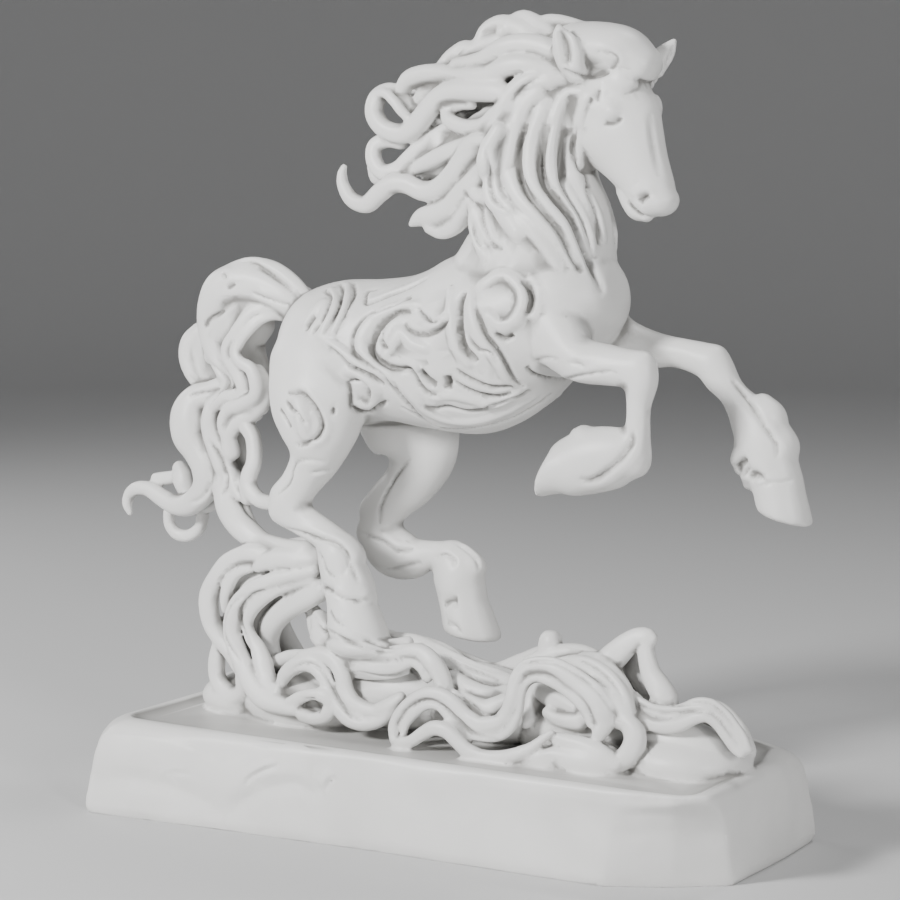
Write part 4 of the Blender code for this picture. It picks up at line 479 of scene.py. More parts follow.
    [(-92, 6, 158, 8), (-118, 10, 150, 10), (-138, 14, 138, 11), (-145, 16, 118, 12), (-138, 18, 98, 12),
     (-124, 20, 80, 12), (-100, 22, 70, 10)],
    [(-124, 20, 72, 9), (-106, 25, 88, 9), (-84, 27, 92, 9), (-62, 28, 84, 9), (-46, 29, 74, 9),
     (-24, 30, 70, 8), (-6, 29, 82, 8), (14, 28, 90, 8), (36, 27, 84, 8), (50, 28, 70, 8)],
    [(-60, 6, 104, 9), (-40, 12, 104, 9), (-18, 16, 104, 9), (4, 18, 98, 9), (24, 20, 94, 9),
     (44, 20, 102, 9), (64, 20, 110, 9), (84, 20, 108, 9), (104, 22, 96, 9), (116, 24, 78, 9)],
    [(40, 26, 70, 9), (58, 27, 82, 9), (76, 28, 94, 9), (98, 28, 88, 9), (116, 27, 74, 9), (136, 25, 70, 8),
     (156, 22, 82, 8), (176, 18, 88, 8), (192, 12, 80, 8), (202, 6, 70, 7)],
]

# Deeper masses of the water: centre and half sizes
SWELLS = [((-40, -4, 84), (80, 30, 25)), ((-96, 2, 70), (60, 42, 26)), ((40, -2, 79), (60, 32, 20)),
          ((100, -2, 76), (56, 32, 24)), ((168, -6, 64), (42, 36, 20)), ((-30, 0, 100), (46, 16, 19)),
          ((16, 0, 91), (46, 18, 15)), ((-55, -20, 106), (28, 20, 14)), ((-150, 4, 66), (36, 34, 16)),
          ((86, -8, 98), (30, 16, 19)), ((168, -16, 70), (34, 16, 21)), ((119, -40, 64), (27, 14, 13)),
          ((92, -44, 62), (22, 10, 9)), ((-46, -28, 115), (25, 17, 9))]

# Roots of neck ridges below the ear: x, z, radius, as the ridges themselves
RIDGE_ROOTS = [
    [(100, 463.7, 3), (91.5, 462, 4), (85, 457, 4.8), (81, 447, 5.2), (78, 438, 5.5)],
    [(108.7, 458, 3), (100.2, 457, 4), (94.5, 450, 4.6), (91, 440, 5), (89, 431.5, 5)],
    [(115.7, 456, 2.5), (110, 450, 3.4), (107, 440, 4), (107, 428, 4.4)],
]
# The lock that runs out between the neck ridges: x, y, z, radius
DRAWN_OUT = [
    [(63, -22.5, 441, 7.5), (60, -23.5, 430, 6.8), (58, -25, 418, 6), (58.5, -27, 406, 5),
     (63, -29, 394, 3.5)],
]

# Lines carved into the skin, as seen by that eye: the plane y they are read on, then for each
# its rows x, z, its width, depth and lip in millimetres
NECK_SLOTS = [
    ([(100, 438), (97, 428), (96, 414), (98, 403), (105, 392), (110, 384), (114, 372), (118, 360)], 5.0,
      5.0, 0.5),
    ([(88, 440), (84, 428), (82, 415), (84, 405), (90, 397), (98, 389), (103, 383), (108, 373), (113, 362),
      (118, 352), (124, 341)], 4.6, 4.2, 0.5),
    ([(73, 440), (69, 428), (68, 415), (70, 404), (75, 396), (85, 386), (93, 378), (98, 370), (103, 361),
      (110, 352)], 4.2, 3.8, 0.5),
    ([(111, 414), (114, 400), (118, 390), (120, 380), (121, 368)], 4.0, 3.0, 0.4),
]
MANE_LINES = [
    ([(28, 400.5), (34.5, 393.5), (41.5, 389.5), (43, 381), (47.5, 370), (56, 364.5)], 2.8, 2.0, 0.5),
    ([(44.5, 426), (47.5, 415), (47.5, 403.5), (51, 394), (61.5, 388)], 2.8, 1.8, 0.5),
    ([(34.5, 382.5), (38, 371), (43, 364.5)], 2.8, 1.8, 0.5),
    ([(62, 452.5), (70, 460.5), (80, 466), (84, 467.5)], 2.8, 1.8, 0.5),
]
FLANK_LINES = [
    ([(-68, 338), (-63, 333.5), (-64, 325.5), (-70, 318), (-77, 309)], 2.8, 1.6, 0.8),
    ([(-57, 343), (-54, 338.5), (-55, 329.5), (-60, 321), (-68.5, 309.5)], 2.8, 1.6, 0.8),
    ([(-46, 343), (-45, 336), (-49.5, 327), (-54, 318.5), (-60, 310)], 2.8, 1.4, 0.6),
    ([(-74, 321.5), (-78, 316.5), (-82, 311.5)], 2.6, 1.5, 0.4),
    ([(-28, 339), (-35, 337.5), (-37, 332.5), (-35, 330.5), (-20.5, 335.5), (-6.5, 340.5), (7.5, 347)], 2.6,
      1.6, 0.7),
    ([(-3.5, 334.5), (-15, 331), (-28, 326.5), (-38, 320.5), (-45, 311.5), (-46, 301.5), (-41, 296),
      (-32, 290), (-21, 283.5), (-12, 274), (-2, 265), (7.5, 259)], 3.2, 2.0, 0.9),
    ([(-3.5, 325.5), (-12, 325.5), (-20.5, 321), (-28, 313.5), (-32, 303.5), (-29.5, 297.5), (-22, 293),
      (-13.5, 291), (-6.5, 291), (-2.5, 288), (2, 282), (7.5, 277.5), (16, 276)], 3.4, 2.8, 1.0),
    ([(-22, 318.5), (-25, 313.5), (-25.5, 308.5), (-23, 304.5), (-20, 303)], 2.6, 1.7, 0.7),
    ([(-9.5, 319), (-3.5, 314.5), (5, 313), (13, 315), (19.5, 319.5), (21.5, 325)], 2.8, 1.9, 0.8),
    ([(0.5, 329), (5, 324), (12, 321), (17, 323)], 2.6, 1.6, 0.6),
    ([(1.5, 291), (7, 285.5), (14, 282)], 4.2, 3.4, 0.4),
    ([(21.5, 289), (22, 284), (21.5, 279)], 4.4, 3.4, 0.2),
    ([(22.5, 287), (32.5, 282), (43.5, 278.5), (56, 277.5), (67, 280)], 3.0, 2.0, 0.8),
    ([(27, 292.5), (38, 287), (52, 283), (67, 284)], 2.8, 1.7, 0.7),
    ([(33.5, 339.5), (30.5, 332), (30, 322.5), (31, 313), (34, 305), (41, 299), (43, 297)], 3.8, 3.6, 0.6),
    ([(42, 330), (45, 322), (49, 314), (56, 306), (62.5, 297), (68, 288.5), (76, 283)], 3.0, 2.0, 0.8),
    ([(33.5, 317), (37, 311), (43.5, 305.5), (53, 302), (57.5, 295)], 2.6, 1.6, 0.6),
    ([(54, 315), (61, 312.5), (68, 315)], 3.2, 2.4, 0.5),
    ([(72, 347.5), (77, 344), (79.5, 337), (78, 330), (74, 326)], 3.4, 2.6, 0.9),
    ([(76, 297), (80, 292.5), (89.5, 290), (98.5, 290.5)], 2.8, 1.7, 0.6),
    ([(-65.5, 303), (-57, 297.5), (-46.5, 290.5), (-35, 286.5), (-23.5, 281)], 3.2, 2.0, 0.9),
    ([(-50, 282), (-48, 272), (-47, 266), (-39.5, 263), (-31, 265.5), (-22, 271)], 3.2, 2.2, 0.6),
    ([(-50, 282), (-41, 282), (-34.5, 278), (-35, 272)], 2.8, 1.8, 0.7),
    ([(-12.5, 268), (0.5, 262.5), (14.5, 257), (35.5, 257), (63, 263.5), (83, 274), (93.5, 281.5)], 2.8,
      1.6, 0.6),
    ([(2, 269), (12, 268), (21.5, 269.5), (35.5, 267.5), (49, 270), (67, 276.5), (79, 283)], 2.8, 1.7, 0.7),
    ([(-18, 283.5), (-9.5, 274), (-1, 265), (7.5, 259)], 2.6, 1.4, 0.6),
    ([(-95.5, 272), (-85, 272.5), (-77.5, 267), (-72, 260), (-69.5, 252.5), (-73.5, 245), (-81, 241),
      (-90, 239)], 3.2, 2.2, 0.8),
    ([(-97, 267), (-89.5, 260), (-81, 252)], 2.8, 1.8, 0.5),
    ([(-101.5, 262), (-95.5, 253.5), (-93, 250)], 2.6, 1.4, 0.4),
    ([(-61.5, 265), (-61, 263), (-61, 260)], 2.8, 1.6, 0.2),
]
NEAR_LEG_PLANE = -36
NEAR_LEG_LINES = [
    ([(82, 300), (90, 302), (99, 301)], 2.6, 1.5, 0.4),
    ([(103, 299), (110, 300), (116, 297)], 2.6, 1.5, 0.4),
    ([(76, 296), (85, 291), (100, 290), (115, 293), (130, 296), (137, 295)], 2.8, 1.7, 0.5),
    ([(146.5, 264), (146, 255.5), (141.5, 248), (137, 243), (128, 235.5), (122, 232), (116, 230.5),
      (112, 232)], 4.2, 2.8, 0.9),
    ([(-65, 230), (-88, 229), (-95, 215), (-110, 203)], 2.8, 1.6, 0.5),
    ([(-60, 226), (-80, 222)], 2.6, 1.4, 0.4),
    ([(-97, 186), (-85, 184), (-72.5, 181.5), (-60.5, 180), (-52, 174), (-50.5, 168), (-54.5, 159.5)], 3.2,
      2.4, 0.7),
    ([(-73, 173.5), (-69.5, 167.5), (-66.5, 161), (-60.5, 158)], 2.8, 1.6, 0.5),
    ([(-51.5, 171.5), (-47, 163), (-42.5, 155.5)], 2.8, 1.5, 0.4),
    ([(-70, 150.5), (-64.5, 149), (-60, 149)], 4.5, 3.0, 0.5),
    ([(-68, 149), (-60, 146.5), (-52, 144.5), (-41, 144.5), (-33, 148)], 3.0, 1.4, 0.7),
    ([(-64.5, 137), (-61, 130.5), (-54.5, 127.5)], 2.8, 1.6, 0.5),
]
FAR_LEG_PLANE = 30
FAR_LEG_LINES = [
    ([(179, 288), (187.5, 279), (194.5, 270), (201, 261), (207.5, 253), (209, 247), (208, 241.5)], 3.2, 2.2,
      0.6),
    ([(183, 234), (185.5, 238), (190.5, 241)], 5.0, 3.4, 0.5),
    ([(186, 232), (189.5, 234), (192.5, 237)], 3.6, 2.2, 0.4),
    ([(191.5, 229), (195.5, 232), (202, 229)], 5.0, 3.2, 0.5),
    ([(196.5, 224), (202.5, 227.5), (212, 228.5), (220, 230.5)], 3.0, 1.2, 0.6),
    ([(-45, 228), (-58, 212), (-68, 195), (-69, 182)], 2.8, 1.6, 0.5),
    ([(-86.5, 176), (-67.5, 172), (-55.5, 166.5), (-43, 168.5)], 2.8, 1.6, 0.5),
    ([(-27.5, 163.5), (-20, 166.5), (-12.5, 163.5), (-14, 158)], 2.6, 1.5, 0.5),
    ([(-12.5, 175), (-3.5, 170.5), (4, 164.5), (5.5, 157)], 2.8, 1.6, 0.5),
    ([(-71, 151.5), (-58.5, 154), (-47.5, 157.5), (-36.5, 160.5)], 3.6, 1.8, 0.5),
    ([(-21, 133), (-15.5, 136.5), (-9.5, 137)], 7.0, 2.2, 0.4),
    ([(-18.5, 123), (-11, 120), (-8, 115)], 3.0, 1.6, 0.4),
]
TAIL_PLANE = -10
TAIL_LINES = [
    ([(-152.5, 353), (-139.5, 351.5), (-127, 345.5), (-116, 339), (-108, 333)], 3.0, 2.2, 0.6),
    ([(-142.5, 333.5), (-130, 329.5), (-111, 325.5)], 2.8, 1.8, 0.5),
    ([(-160, 334), (-157, 336.5), (-152, 338.5)], 3.4, 2.0, 0.9),
    ([(-164, 345), (-161.5, 342.5), (-163.5, 340.5)], 3.2, 1.8, 0.7),
    ([(-161.5, 320.5), (-173, 314.5), (-177, 308)], 3.0, 2.0, 0.6),
    ([(-177, 288), (-168.5, 281.5), (-160.5, 276.5), (-160, 271.5), (-169, 264.5), (-176.5, 257),
      (-175.5, 252)], 2.8, 1.8, 0.5),
    ([(-192.5, 262.5), (-184, 265.5), (-174.5, 267.5), (-166, 269.5)], 2.6, 1.6, 0.5),
    ([(-176, 236), (-168, 227), (-163, 218), (-161.5, 206), (-166.5, 197.5)], 3.0, 2.2, 0.6),
    ([(-176, 208), (-178, 201), (-184, 195), (-192, 192)], 2.6, 1.5, 0.5),
    ([(-155, 212), (-152, 200), (-146, 190), (-136, 182)], 2.8, 1.6, 0.5),
]
HEAD_PLANE = -10
HEAD_LINES = [
    ([(84.5, 495), (86.5, 489), (88, 481), (88.5, 472)], 6.5, 4.2, 0.3),
    ([(158.7, 485), (156.3, 478.5), (153, 472)], 3.2, 1.8, 0.2),
    ([(107.5, 481.5), (117, 480), (121.5, 476), (117, 470)], 2.8, 1.4, 0.6),
    ([(85.5, 471.5), (93.5, 468), (104.5, 467), (117, 469)], 3.4, 2.4, 0.9),
    ([(127.5, 467), (136, 464), (145, 462.5)], 3.0, 1.2, 0.6),
    ([(113.5, 440.5), (116, 439.6), (119.7, 439.8), (123, 441.4), (124.6, 444)], 3.0, 2.6, 0.4),
    ([(136.5, 393), (138, 395.5), (141, 397), (144, 396)], 4.6, 3.8, 0.8),
    ([(129, 395), (131, 392), (134.3, 388.8), (139.3, 385.6), (145, 384.6)], 2.6, 2.2, 0.4),
    ([(110, 460), (108.3, 452)], 2.6, 1.5, 0.4),
    ([(105.5, 454.5), (103.5, 449.5)], 3.0, 1.0, 0.3),
    ([(143.5, 446), (143.8, 438), (144.8, 431), (146.6, 421), (149.5, 408)], 5.0, 0.9, 0.0),
    ([(95, 437), (93.5, 431), (92.3, 425), (94.4, 417), (99.5, 411.5), (107, 410.5)], 3.4, 2.4, 0.0),
]
HEAD_SWELLS = [((116.5, 447.5), 8.0, 2.0), ((99.5, 456), 7.0, 1.2), ((142.5, 401), 5.0, 1.0),
               ((148, 394), 5.0, 0.6), ((104, 428), 13.0, 1.2), ((122, 458), 8.0, 0.8)]
WATER_PLANE = -34
WATER_LINES = [
    ([(-115, 145), (-126, 140), (-133.5, 131.5), (-133.5, 120.5), (-129.5, 110.5), (-126.5, 101.5)], 2.8,
      2.0, 0.6),
    ([(-129, 140), (-140.5, 134.5), (-147, 124.5), (-148, 114), (-144, 105), (-134.5, 95)], 2.8, 2.0, 0.5),
    ([(-80.5, 132), (-71.5, 125.5), (-62, 121), (-48.5, 117), (-32, 113.5), (-17, 114)], 2.8, 2.0, 0.6),
    ([(-48.5, 122.5), (-36, 118.5), (-23, 116.5), (-11, 118.5)], 2.6, 1.5, 0.5),
    ([(8.5, 121.5), (23, 116.5), (39, 112), (57, 109)], 2.6, 1.5, 0.6),
    ([(13, 118), (26, 113), (40.5, 108.5), (57, 104)], 2.6, 1.5, 0.6),
    ([(24.5, 99), (31.5, 92), (40.5, 85.5), (47.5, 81.5), (57.5, 83.5)], 2.6, 1.6, 0.5),
    ([(-17, 67.5), (-8, 80), (5.5, 86.5), (17, 84), (29, 76.5), (40.5, 69), (57.5, 66.5)], 2.6, 1.8, 0.5),
    ([(-47, 99), (-32, 98), (-17, 99.5), (-5, 103.5), (1, 96.5)], 2.6, 1.6, 0.5),
    ([(-96.5, 94), (-84, 100.5), (-73, 97.5), (-65.5, 89.5), (-59.5, 79.5), (-50, 70), (-41, 68)], 2.8, 1.8,
      0.6),
    ([(-87.5, 76.5), (-78, 77.5), (-73.5, 72.5), (-75, 68.5)], 2.4, 1.5, 0.4),
    ([(64.5, 99.5), (66, 107.5), (71.5, 114.5), (82.5, 119), (96.5, 119.5), (107.5, 115.5), (118.5, 109.5),
      (127, 103), (135, 92.5)], 3.0, 2.0, 0.6),
    ([(107.5, 122), (117.5, 120.5), (128, 115.5), (137.5, 107.5), (143, 98.5)], 3.0, 2.0, 0.6),
    ([(147, 107.5), (159, 103), (172.5, 102), (185.5, 104.5), (196, 105.5), (205, 100.5), (213, 93.5),
      (220.5, 86)], 2.6, 1.8, 0.5),
    ([(148.5, 101.5), (162, 97.5), (175, 98), (188, 100.5), (198.5, 100), (206.5, 93.5), (215.5, 83)], 2.6,
      1.8, 0.5),
]
BLOCK_PLANE = -80
BLOCK_LINES = [
    ([(-101.7, 26), (-95.4, 34), (-85.4, 40), (-71.8, 45.5)], 3.4, 1.5, 2.0),
    ([(-170, 20), (-162, 27), (-153, 30), (-140, 30.6)], 3.6, 0.9, 1.2),
    ([(-40, 33), (-37, 39), (-31, 44)], 3.6, 0.8, 1.0),
    ([(-223, 16.5), (-196, 22), (-170, 22.4), (-140, 17), (-113, 7.6)], 14.0, 1.4, 1.0),
    ([(-113, 7.6), (-105, 16.5), (-89, 27), (-64, 35), (-50, 31), (-40, 35)], 12.0, 1.5, 1.0),
]


def placed(x, y, z):
    """A point of the master model, in metres on the finished figure."""
    return (x * SCALE, y * SCALE, BLOCK_HEIGHT + (z - MASTER_BLOCK_TOP) * SCALE)


def smooth_rows(rows, steps):
    """Rows of numbers joined by a smooth curve through each of them."""
    rows = [np.array(row, float) for row in rows]
    ends = [2 * rows[0] - rows[1]] + rows + [2 * rows[-1] - rows[-2]]
    fine = []
    for before, start, stop, after in zip(ends, ends[1:], ends[2:], ends[3:]):
        for step in range(steps):
            t = step / steps
            fine.append(0.5 * (2 * start + (stop - before) * t
                               + (2 * before - 5 * start + 4 * stop - after) * t ** 2
                               + (3 * start - before - 3 * stop + after) * t ** 3))
    fine.append(rows[-1])
    return fine


def add_rings(bm, rings):
    """Closed skin over a run of rings of points, with a fan at each end."""
    loops = [[bm.verts.new(placed(*point)) for point in points] for points in rings]
    for lower, upper in zip(loops, loops[1:]):
        for k in range(len(lower)):
            n = (k + 1) % len(lower)
            bm.faces.new((lower[k], lower[n], upper[n], upper[k]))
    for loop, turned in ((loops[0], True), (loops[-1], False)):
        middle = bm.verts.new(sum((v.co for v in loop), loop[0].co * 0) / len(loop))
        for k in range(len(loop)):
            n = (k + 1) % len(loop)
            corner = (loop[n], loop[k], middle) if turned else (loop[k], loop[n], middle)
            bm.faces.new(corner)


def ring(centre, across, side, a, b, count, lobes=0, depth=0.0, turn=0.0):
    """An oval of points, a wide along across and b wide along side, cut by sharp valleys between lobes."""
    points = []
    for k in range(count):
        angle = 2 * math.pi * k / count
        ridge = 1 - depth * (1 - abs(math.cos(lobes * (angle + turn) / 2))) if lobes else 1.0
        points.append(centre + across * (a * ridge * math.cos(angle))
                      + side * (b * ridge * math.sin(angle)))
    return points


def swept(bm, rows, steps=7, count=24, lobes=0, depth=0.0, twist=0.0, turn=0.0):
    """A limb or lock through rows of x, y, z, half thickness in the plane, half thickness sideways."""
    fine = smooth_rows(rows, steps)
    centres = [row[:3] for row in fine]
    rings = []
    last = len(fine) - 1
    for index, row in enumerate(fine):
        along = centres[min(index + 1, last)] - centres[max(index - 1, 0)]
        along /= np.linalg.norm(along)
        side = np.array((0.0, 1.0, 0.0)) - along[1] * along
        side /= max(np.linalg.norm(side), 1e-6)
        across = np.cross(side, along)
        angle = turn + twist * index / last
        way = -1 if index == 0 else 1
        reach = min(row[3], row[4])
        caps = [ring(row[:3] + along * way * out * reach, across, side, row[3] * size, row[4] * size,
                     count, lobes, depth, angle)
                for out, size in (ROUND_END if index in (0, last) else ROUND_END[:1])]
        rings += caps[::-1] if index == 0 else caps
    add_rings(bm, rings)


def locks(bm, rows, **ways):
    """A round lock through rows of x, y, z, radius."""
    swept(bm, [(x, y, z, r, r) for x, y, z, r in rows], **ways)


def bare(thing):
    """Only this object selected and active."""
    bpy.ops.object.select_all(action="DESELECT")
    thing.select_set(True)
    bpy.context.view_layer.objects.active = thing


def object_of(name, bm):
    """A new object from a finished bmesh."""
    mesh = bpy.data.meshes.new(name)
    bm.to_mesh(mesh)
    bm.free()
    thing = bpy.data.objects.new(name, mesh)
    bpy.context.collection.objects.link(thing)
    return thing


def mass(name, centre, sizes):
    """An egg-shaped mass, added as a ball and drawn out to its half sizes along x, y and z."""
    bpy.ops.object.select_all(action="DESELECT")
    bpy.ops.mesh.primitive_uv_sphere_add(segments=32, ring_count=18, radius=1, location=placed(*centre))
    thing = bpy.context.active_object
    thing.name = name
    bpy.ops.transform.resize(value=tuple(size * SCALE for size in sizes))
    bpy.ops.object.transform_apply(location=True, rotation=True, scale=True)
    return thing


def joined(name, things):
    """Several objects made one."""
    bare(things[0])
    for thing in things:
        thing.select_set(True)
    bpy.ops.object.join()
    things[0].name = name
    return things[0]


def one_skin(thing, voxel, rounds):
    """All the overlapping forms of an object run together under one skin, their joins softened."""
    bare(thing)
    skin = thing.modifiers.new("one_skin", "REMESH")
    skin.mode = "VOXEL"
    skin.voxel_size = voxel
    bpy.ops.object.modifier_apply(modifier=skin.name)
    soften = thing.modifiers.new("soft_joins", "SMOOTH")
    soften.factor = 0.5
    soften.iterations = rounds
    bpy.ops.object.modifier_apply(modifier=soften.name)


def vectors_of(mesh, kind):
    """The places (co) or normals (normal) of a mesh's points, as rows x, y, z."""
    values = np.zeros(len(mesh.vertices) * 3, np.float32)
    mesh.vertices.foreach_get(kind, values)
    return values.reshape(-1, 3)


def move_to(mesh, points):
    """The mesh's points moved to rows x, y, z."""
    mesh.vertices.foreach_set("co", points.astype(np.float32).ravel())
    mesh.update()


def hoof(bm, heel, toe, top, half_width, top_length):
    """A hoof from its flat sole, heel to toe, up to the ring of hair at its top."""
    y = top[1]
    heel = np.array((heel[0], y, heel[1]), float)
    toe = np.array((toe[0], y, toe[1]), float)
    top = np.array(top, float)
    sole = (heel + toe) / 2
    length = toe - heel
    half = np.linalg.norm(length) / 2
    across = length / (2 * half)
    side = np.array((0.0, 1.0, 0.0))
    rings = []
    for share, grow in HOOF_RINGS:
        centre = sole + (top - sole) * share
        a = (half + (top_length / 2 - half) * share) * (grow if share < SOLE_SHARE else 1)
        rings.append(ring(centre, across, side, a, half_width * grow, 32))
    lift = np.cross(across, side)
    if np.dot(lift, top - sole) < 0:
        rings = [points[::-1] for points in rings]
    add_rings(bm, rings)


def block_outlines():
    """The foot and the top of the rough block, as matching corners."""
    x = BLOCK_LENGTH / 2
    y = BLOCK_WIDTH / 2
    c = CORNER_CUT
    foot = [(-x + 0.003, -y - 0.010), (-x * 0.6, -y - 0.002), (0, -y + 0.007), (x - 1.7 * c, -y + 0.011),
            (x - 0.8 * c, -y + 0.75 * c), (x - 0.002, -y + 1.3 * c), (x + 0.001, 0.4 * y),
            (x, y - 0.15 * c), (x - c, y), (0, y), (-x + 0.5 * c, y), (-x, y - 0.6 * c),
            (-x - 0.004, -y + 0.1 * c)]
    top = [(-x + 0.55 * c, -y + 0.004), (-x * 0.6, -y + 0.001), (0, -y), (x - 1.2 * c, -y),
           (x - 0.4 * c, -y + 0.003), (x - 0.001, -y + 0.4 * c), (x - 0.001, 0.3 * y),
           (x - 0.3 * c, y - 0.6 * c), (x - 1.1 * c, y - 0.004), (0, y - 0.003), (-x + 0.7 * c, y - 0.007),
           (-x + 0.3 * c, y - 0.7 * c), (-x + 0.22 * c, -y + 0.5 * c)]
    return foot, top


def draw_in(loop, distance):
    """Corners of a level ring, listed turning left, moved in until every side has moved by the distance."""
    spots = [vert.co.copy() for vert in loop]
    for before, spot, after, vert in zip(spots[-1:] + spots[:-1], spots, spots[1:] + spots[:1], loop):
        come = (spot - before).normalized()
        leave = (after - spot).normalized()
        inward = Vector((-come.y - leave.y, come.x + leave.x, 0)).normalized()
        vert.co = spot + inward * distance / max(0.5, inward.dot(Vector((-come.y, come.x, 0))))


def rough_block():
    """The block: its outline as a flat plate, pulled up level by level to the smaller outline of its top.

    Each level is its share of the way from the foot to the top outline, its share of the height and how far
    it is drawn in, in edge roundings.
    """
    foot, top = block_outlines()
    levels = [(0.0, -SAWN / BLOCK_HEIGHT, 0.6), (0.0, 0.1, 0.0), (0.15, 0.35, 0.0), (0.3, 0.6, 0.0),
              (0.5, 0.8, 0.0), (0.8, 0.93, 0.2), (1.0, 1.0, 1.0), (1.0, 1.0, 1.9),
              (1.0, 1.0 - DISH / BLOCK_HEIGHT, 3.0)]
    bpy.ops.object.select_all(action="DESELECT")
    bpy.ops.mesh.primitive_circle_add(vertices=len(foot), radius=1, fill_type="NGON")
    thing = bpy.context.active_object
    thing.name = "rough_block"
    bpy.ops.object.mode_set(mode="EDIT")
    for number, (toward_top, height, inset) in enumerate(levels):
        if number:
            bpy.ops.mesh.extrude_region_move(TRANSFORM_OT_translate={"value": (0, 0, BLOCK_HEIGHT / 4)})
        bm = bmesh.from_edit_mesh(thing.data)
        bm.verts.ensure_lookup_table()
        moving = [vert for vert in bm.verts if vert.select][-len(foot):]
        for vert, (fx, fy), (tx, ty) in zip(moving, foot, top):
            px = fx + (tx - fx) * toward_top
            py = fy + (ty - fy) * toward_top
            vert.co = Vector((px, py, BLOCK_HEIGHT * height))
        draw_in(moving, inset * EDGE_ROUND)
        bmesh.update_edit_mesh(thing.data)
    bpy.ops.mesh.select_all(action="SELECT")
    bpy.ops.mesh.normals_make_consistent(inside=False)
    bpy.ops.object.mode_set(mode="OBJECT")
    return thing


def worn(block):
    """The block's edges worn round, and its sides left softly uneven, as rough stone is.

    The unevenness is made of broad and fine waves, whose numbers are radians per metre.
    """
    one_skin(block, WORN_VOXEL, WORN_ROUNDS)
    points = vectors_of(block.data, "co").astype(float)
    normals = vectors_of(block.data, "normal")
    x, y, z = points.T
    broad = np.sin(47 * x + 2 * np.sin(60 * z)) * np.sin(39 * y + 23 * x + 1.3)
    fine = np.sin(101 * x + 140 * z) * np.sin(90 * y + 31 * z + 0.7)
    upright = np.clip(1 - 1.5 * np.abs(normals[:, 2]), 0, 1)
    points -= normals * (UNEVEN * upright * (0.5 + broad / 3 + fine / 6))[:, None]
    move_to(block.data, points)
    return block


def skin_of(thing):
    """A tree of the object's faces, for laying things on its skin."""
    bm = bmesh.new()
    bm.from_mesh(thing.data)
    tree = BVHTree.FromBMesh(bm)
    bm.free()
    return tree


def seen(tree, x, z, plane, side):
    """What the eye sees through x, z of a plane: the place on the skin and its normal, or None twice.

    Side -1 is the near side; side 1 mirrors eye and plane to the far side.
    """
    eye = Vector(placed(EYE[0], -EYE[1] * side, EYE[2]))
    aim = Vector(placed(x, -plane * side, z))
    hit, normal, face, distance = tree.ray_cast(eye, (aim - eye).normalized())
    return hit, normal


def laid_on(tree, rows, plane, side, sink):
    """Rows x, z, radius of a ridge that the eye sees on a plane, laid on the skin and sunk by a share."""
    laid = []
    for x, z, radius in rows:
        hit, normal = seen(tree, x, z, plane, side)
        if hit is None:
            hit = Vector(placed(x, -plane * side, z))
            normal = Vector((1, 0, 0))
        centre = hit - normal * (radius * sink * SCALE)
        laid.append((centre.x / SCALE, centre.y / SCALE,
                     (centre.z - BLOCK_HEIGHT) / SCALE + MASTER_BLOCK_TOP, radius))
    return laid


